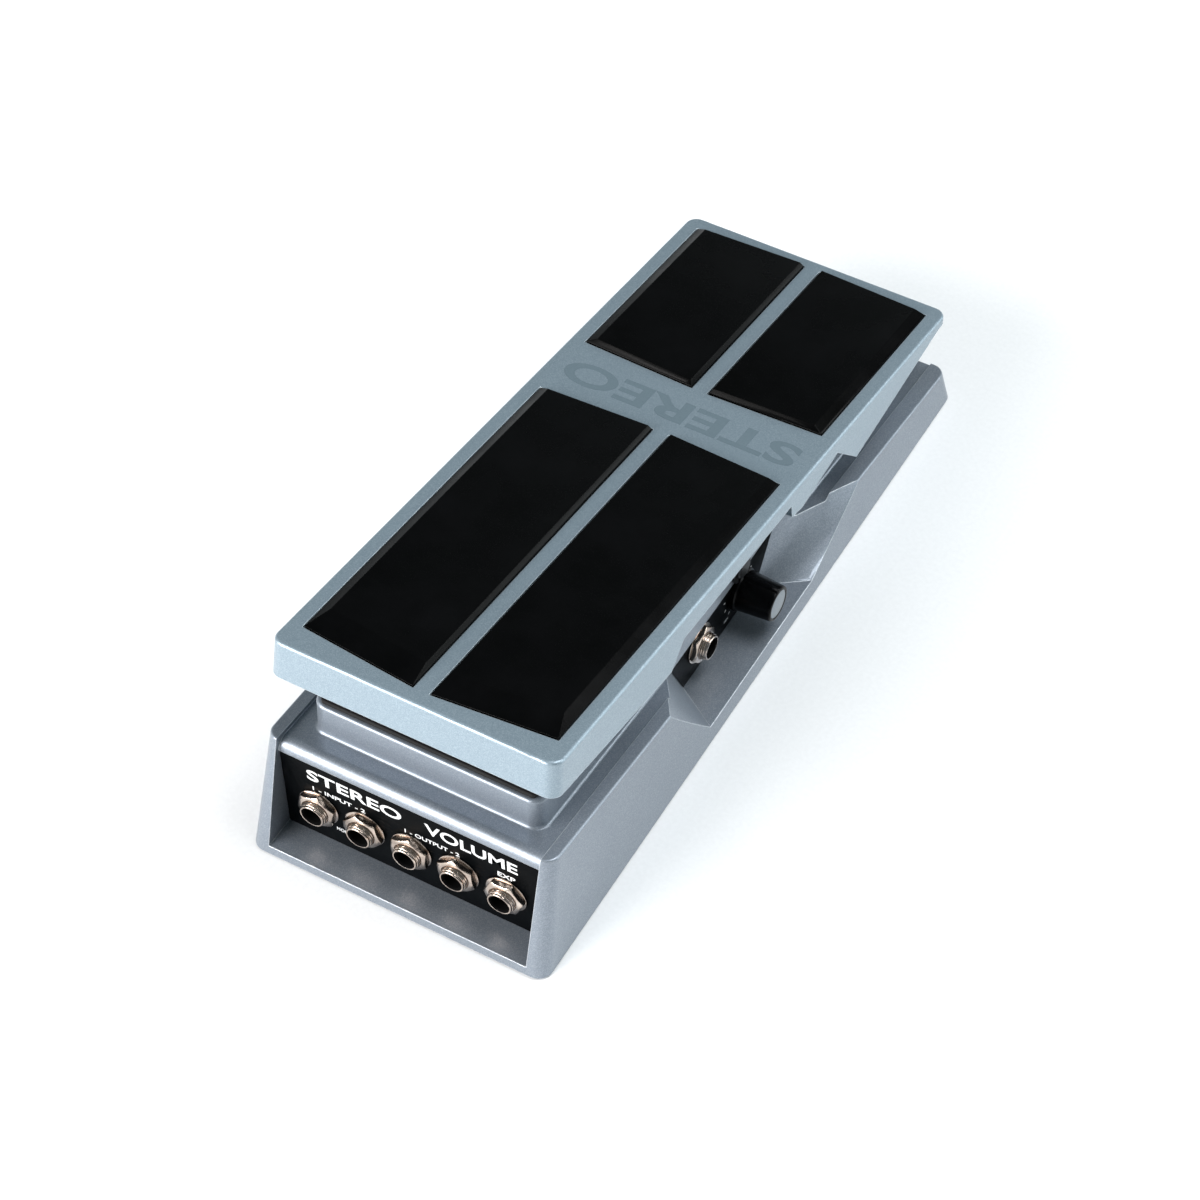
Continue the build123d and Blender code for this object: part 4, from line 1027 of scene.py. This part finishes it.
def knobSurface(settings):
    # outline from the skirt to the rounded tip; the ridge adds height * bell(angle from straight up)
    skirt, neck, tip = settings["skirtRadius"], settings["neckRadius"], settings["tipRadius"]
    skirtHeight, rise, tipRound = settings["skirtHeight"], settings["neckRise"], settings["tipRounding"]
    top = knobLength - tipRound
    body = [(neck + (tip - neck) * t, skirtHeight + rise + (top - skirtHeight - rise) * t)
            for t in np.linspace(0, 1, settings["bodyRows"])]
    arc = [(tip - tipRound + tipRound * math.cos(a), top + tipRound * math.sin(a))
           for a in np.linspace(settings["arcStart"], math.pi / 2, settings["arcRows"])]
    capRadius, recessFloor = settings["capRadius"], knobLength - settings["capRecess"]
    inside = [(capRadius, knobLength), (capRadius, recessFloor), (0.0, recessFloor)]
    nutRadius, nutDepth = settings["nutSpace"]
    holeRadius, holeDepth = settings["shaftHole"]
    under = [(0.0, holeDepth), (holeRadius, holeDepth), (holeRadius, nutDepth), (nutRadius, nutDepth),
             (nutRadius, 0.0)]
    edge, topEdge = settings["skirtEdge"], settings["skirtTopEdge"]
    skirtLine = [(skirt - edge, 0.0), (skirt, edge), (skirt, skirtHeight - topEdge),
                 (skirt - topEdge, skirtHeight)]
    profile = under + skirtLine + body + arc + inside

    def addRidge(radii, heights, angle):
        aboveSkirt = heights > (skirtHeight + settings["ridgeFoot"]) * mm
        onBody = (radii > (tip - settings["ridgeMargin"]) * mm) & aboveSkirt
        fade = np.sqrt(np.clip((knobLength * mm - heights) / (settings["ridgeFade"] * mm), 0.0, 1.0))
        offset = np.abs((angle + np.pi) % (2 * np.pi) - np.pi) * radii / (settings["ridgeHalfWidth"] * mm)
        bell = np.clip(settings["ridgeCrown"] - offset ** 2, 0.0, 1.0)
        return radii + np.where(onBody, settings["ridgeHeight"] * mm * bell * fade, 0.0)

    return turned(profile, knobBase, sideward, upward, settings["steps"], addRidge), False, True, len(profile)


def capSurface(knob, cap):
    # a thin disc with a low crown: height = rim + crown * (1 - (radius / outer)^2)
    radius = knob["capRadius"] - cap["gap"]
    floor, rim = knobLength - knob["capRecess"] + cap["seat"], knobLength - cap["rimDrop"]
    rings = [(radius * t, rim + cap["crown"] * (1 - t ** 2))
             for t in np.linspace(0, cap["crownShare"], cap["rings"])]
    profile = rings + [(radius, rim - cap["edge"]), (radius, floor), (0.0, floor)]
    return turned(profile, knobBase, sideward, upward), False, True, len(profile)


makePiece("level_knob", [knobSurface(knobShape)], "knob_plastic", "min_volume_dial", ["min_volume_knob"])
makePiece("level_knob_cap", [capSurface(knobShape, capShape)], "cap_aluminium", "min_volume_dial",
          ["knob_cap"])
print("knob made")

# lettering: flat ink on the panels and the treadle; film is its thickness and gap its height over the
# face
ink = {"film": 0.04, "gap": 0.01, "curveSteps": 6, "edgeAngle": 30.0}
treadleFace = {"toeEdge": (0.0, -124.5 * mm, 86.1 * mm), "tilt": 9.75}
tilt = math.radians(treadleFace["tilt"])
alongTreadle = Vector((0.0, math.cos(tilt), -math.sin(tilt)))
treadleNormal = Vector((0.0, math.sin(tilt), math.cos(tilt)))


def onTreadle(x, s, h=0.0):
    # place on the treadle in mm: x across, s along from the toe edge, h above its top face
    across = Vector((x * mm, 0, 0))
    return Vector(treadleFace["toeEdge"]) + across + alongTreadle * (s * mm) + treadleNormal * (h * mm)


def lettering(name, text, centre, right, up, height, width, weight, body, finish, film=ink["film"]):
    # outlines of the text are filled, scaled to height and width in mm, and laid on the plane of right
    # and up
    curve = bpy.data.curves.new(name, "FONT")
    curve.body = text
    curve.offset = weight
    curve.extrude = 0.5          # from -0.5 to 0.5, a thickness of one that the film scales
    curve.resolution_u = ink["curveSteps"]
    holder = bpy.data.objects.new(name + "_outline", curve)
    scene.collection.objects.link(holder)
    bpy.context.view_layer.update()
    mesh = bpy.data.meshes.new_from_object(holder.evaluated_get(bpy.context.evaluated_depsgraph_get()))
    bpy.data.objects.remove(holder)
    flat = np.empty(len(mesh.vertices) * 3)
    mesh.vertices.foreach_get("co", flat)
    flat = flat.reshape(-1, 3)
    low, high = flat.min(0), flat.max(0)
    share = (flat - (low + high) / 2) / (high - low)
    right, up = np.array(right, float), np.array(up, float)
    normal = np.cross(right, up)
    placed = (
        np.array(centre, float)
        + share[:, :1] * width * mm * right
        + share[:, 1:2] * height * mm * up
        + (share[:, 2:3] + 0.5) * film * mm * normal
    )
    mesh.vertices.foreach_set("co", placed.reshape(-1))
    mesh.name = name
    mesh.materials.append(finish)
    return addPiece(name, mesh, body, (), ink["edgeAngle"])


panelText = [
    # name, text, x and z of its middle, height, width, weight
    ("legend_title_left", "STEREO", -20.5, 34.4, 5.2, 35.0, 0.02),
    ("legend_title_right", "VOLUME", 22.3, 34.4, 5.2, 33.5, 0.02),
    ("legend_input", "1 - INPUT - 2", -26.6, 28.0, 1.9, 19.6, 0.014),
    ("legend_output", "1 - OUTPUT - 2", 7.8, 28.0, 1.9, 20.0, 0.014),
    ("legend_exp", "EXP", 34.8, 28.2, 2.2, 6.4, 0.016),
    ("legend_mono", "MONO", -25.9, 11.6, 1.6, 5.8, 0.012),
]
for name, text, x, z, height, width, weight in panelText:
    lettering(name, text, (x * mm, panelFront - ink["gap"] * mm, z * mm), rightward, upward, height, width,
              weight, "base", inkFinish)
sideTextWeight = 0.012
sideText = [
    # name, text, y and z of its middle, height, width
    ("legend_tuner", "TUNER OUT", -20.6, 29.2, 1.6, 13.0),
    ("legend_level", "MIN VOLUME", -2.4, 26.8, 1.3, 9.4),
    ("legend_level_low", "MIN", 3.4, 12.0, 1.1, 2.6),
    ("legend_level_high", "MAX", 19.6, 12.0, 1.1, 3.0),
]
for name, text, y, z, height, width in sideText:
    lettering(name, text, (sideFace + ink["gap"] * mm, y * mm, z * mm), heelward, upward, height, width,
              sideTextWeight, "base", inkFinish)

# scale marks: bars on an arc round the knob, each at an equal step of its turn
scaleCentre = Vector((sideFace + ink["gap"] * mm, shaftMiddle.y, shaftMiddle.z))
scaleMarks = {"count": 11, "reach": 140.0, "inner": 8.7, "length": 1.1, "width": 0.32}
bars = []
for turn in np.radians(np.linspace(-scaleMarks["reach"], scaleMarks["reach"], scaleMarks["count"])):
    outward = Vector((0.0, math.sin(turn), math.cos(turn)))
    beside = Vector((0.0, math.cos(turn), -math.sin(turn))) * scaleMarks["width"] / 2 * mm
    foot = scaleCentre + outward * scaleMarks["inner"] * mm
    tip = foot + outward * scaleMarks["length"] * mm
    film = Vector((ink["film"] * mm, 0.0, 0.0))
    ring = [foot - beside, foot + beside, tip + beside, tip - beside]
    middleOfBar = sum(ring, Vector()) / 4
    layers = [[middleOfBar] * 4, ring, [corner + film for corner in ring], [middleOfBar + film] * 4]
    bars.append((np.array([[list(point) for point in layer] for layer in layers]), False, True, len(layers)))
makePiece("level_scale_marks", bars, "panel_black", "base", finish=inkFinish)
bandText = {
    "text": "STEREO", "middle": 168.8, "height": 12.0, "width": 88.0, "weight": 0.025,
    "gap": 0.005, "film": 0.05,
}
lettering("treadle_band_lettering", bandText["text"], onTreadle(0.0, bandText["middle"], bandText["gap"]),
          (-1, 0, 0), -alongTreadle, bandText["height"], bandText["width"], bandText["weight"], "treadle",
          bandInkFinish, bandText["film"])
print("lettering laid on")

# floor and world
studio = {"floorReach": 6.0, "floorDrop": 0.05, "worldColour": (0.84, 0.97, 1.0, 1.0), "worldStrength": 0.22}
floorCorners = [
    (x * studio["floorReach"], y * studio["floorReach"], -studio["floorDrop"] * mm)
    for x, y in ((-1, -1), (1, -1), (1, 1), (-1, 1))
]
floorMesh = bpy.data.meshes.new("floor")
floorMesh.from_pydata(floorCorners, [], [(0, 1, 2, 3)])
floorMesh.materials.append(seamlessPaper("seamlessPaper"))
floor = bpy.data.objects.new("floor", floorMesh)
scene.collection.objects.link(floor)
world = bpy.data.worlds.new("studio")
scene.world = world
world.use_nodes = True
sky = world.node_tree.nodes["Background"]
sky.inputs["Color"].default_value = studio["worldColour"]
sky.inputs["Strength"].default_value = studio["worldStrength"]
print("floor and world set")
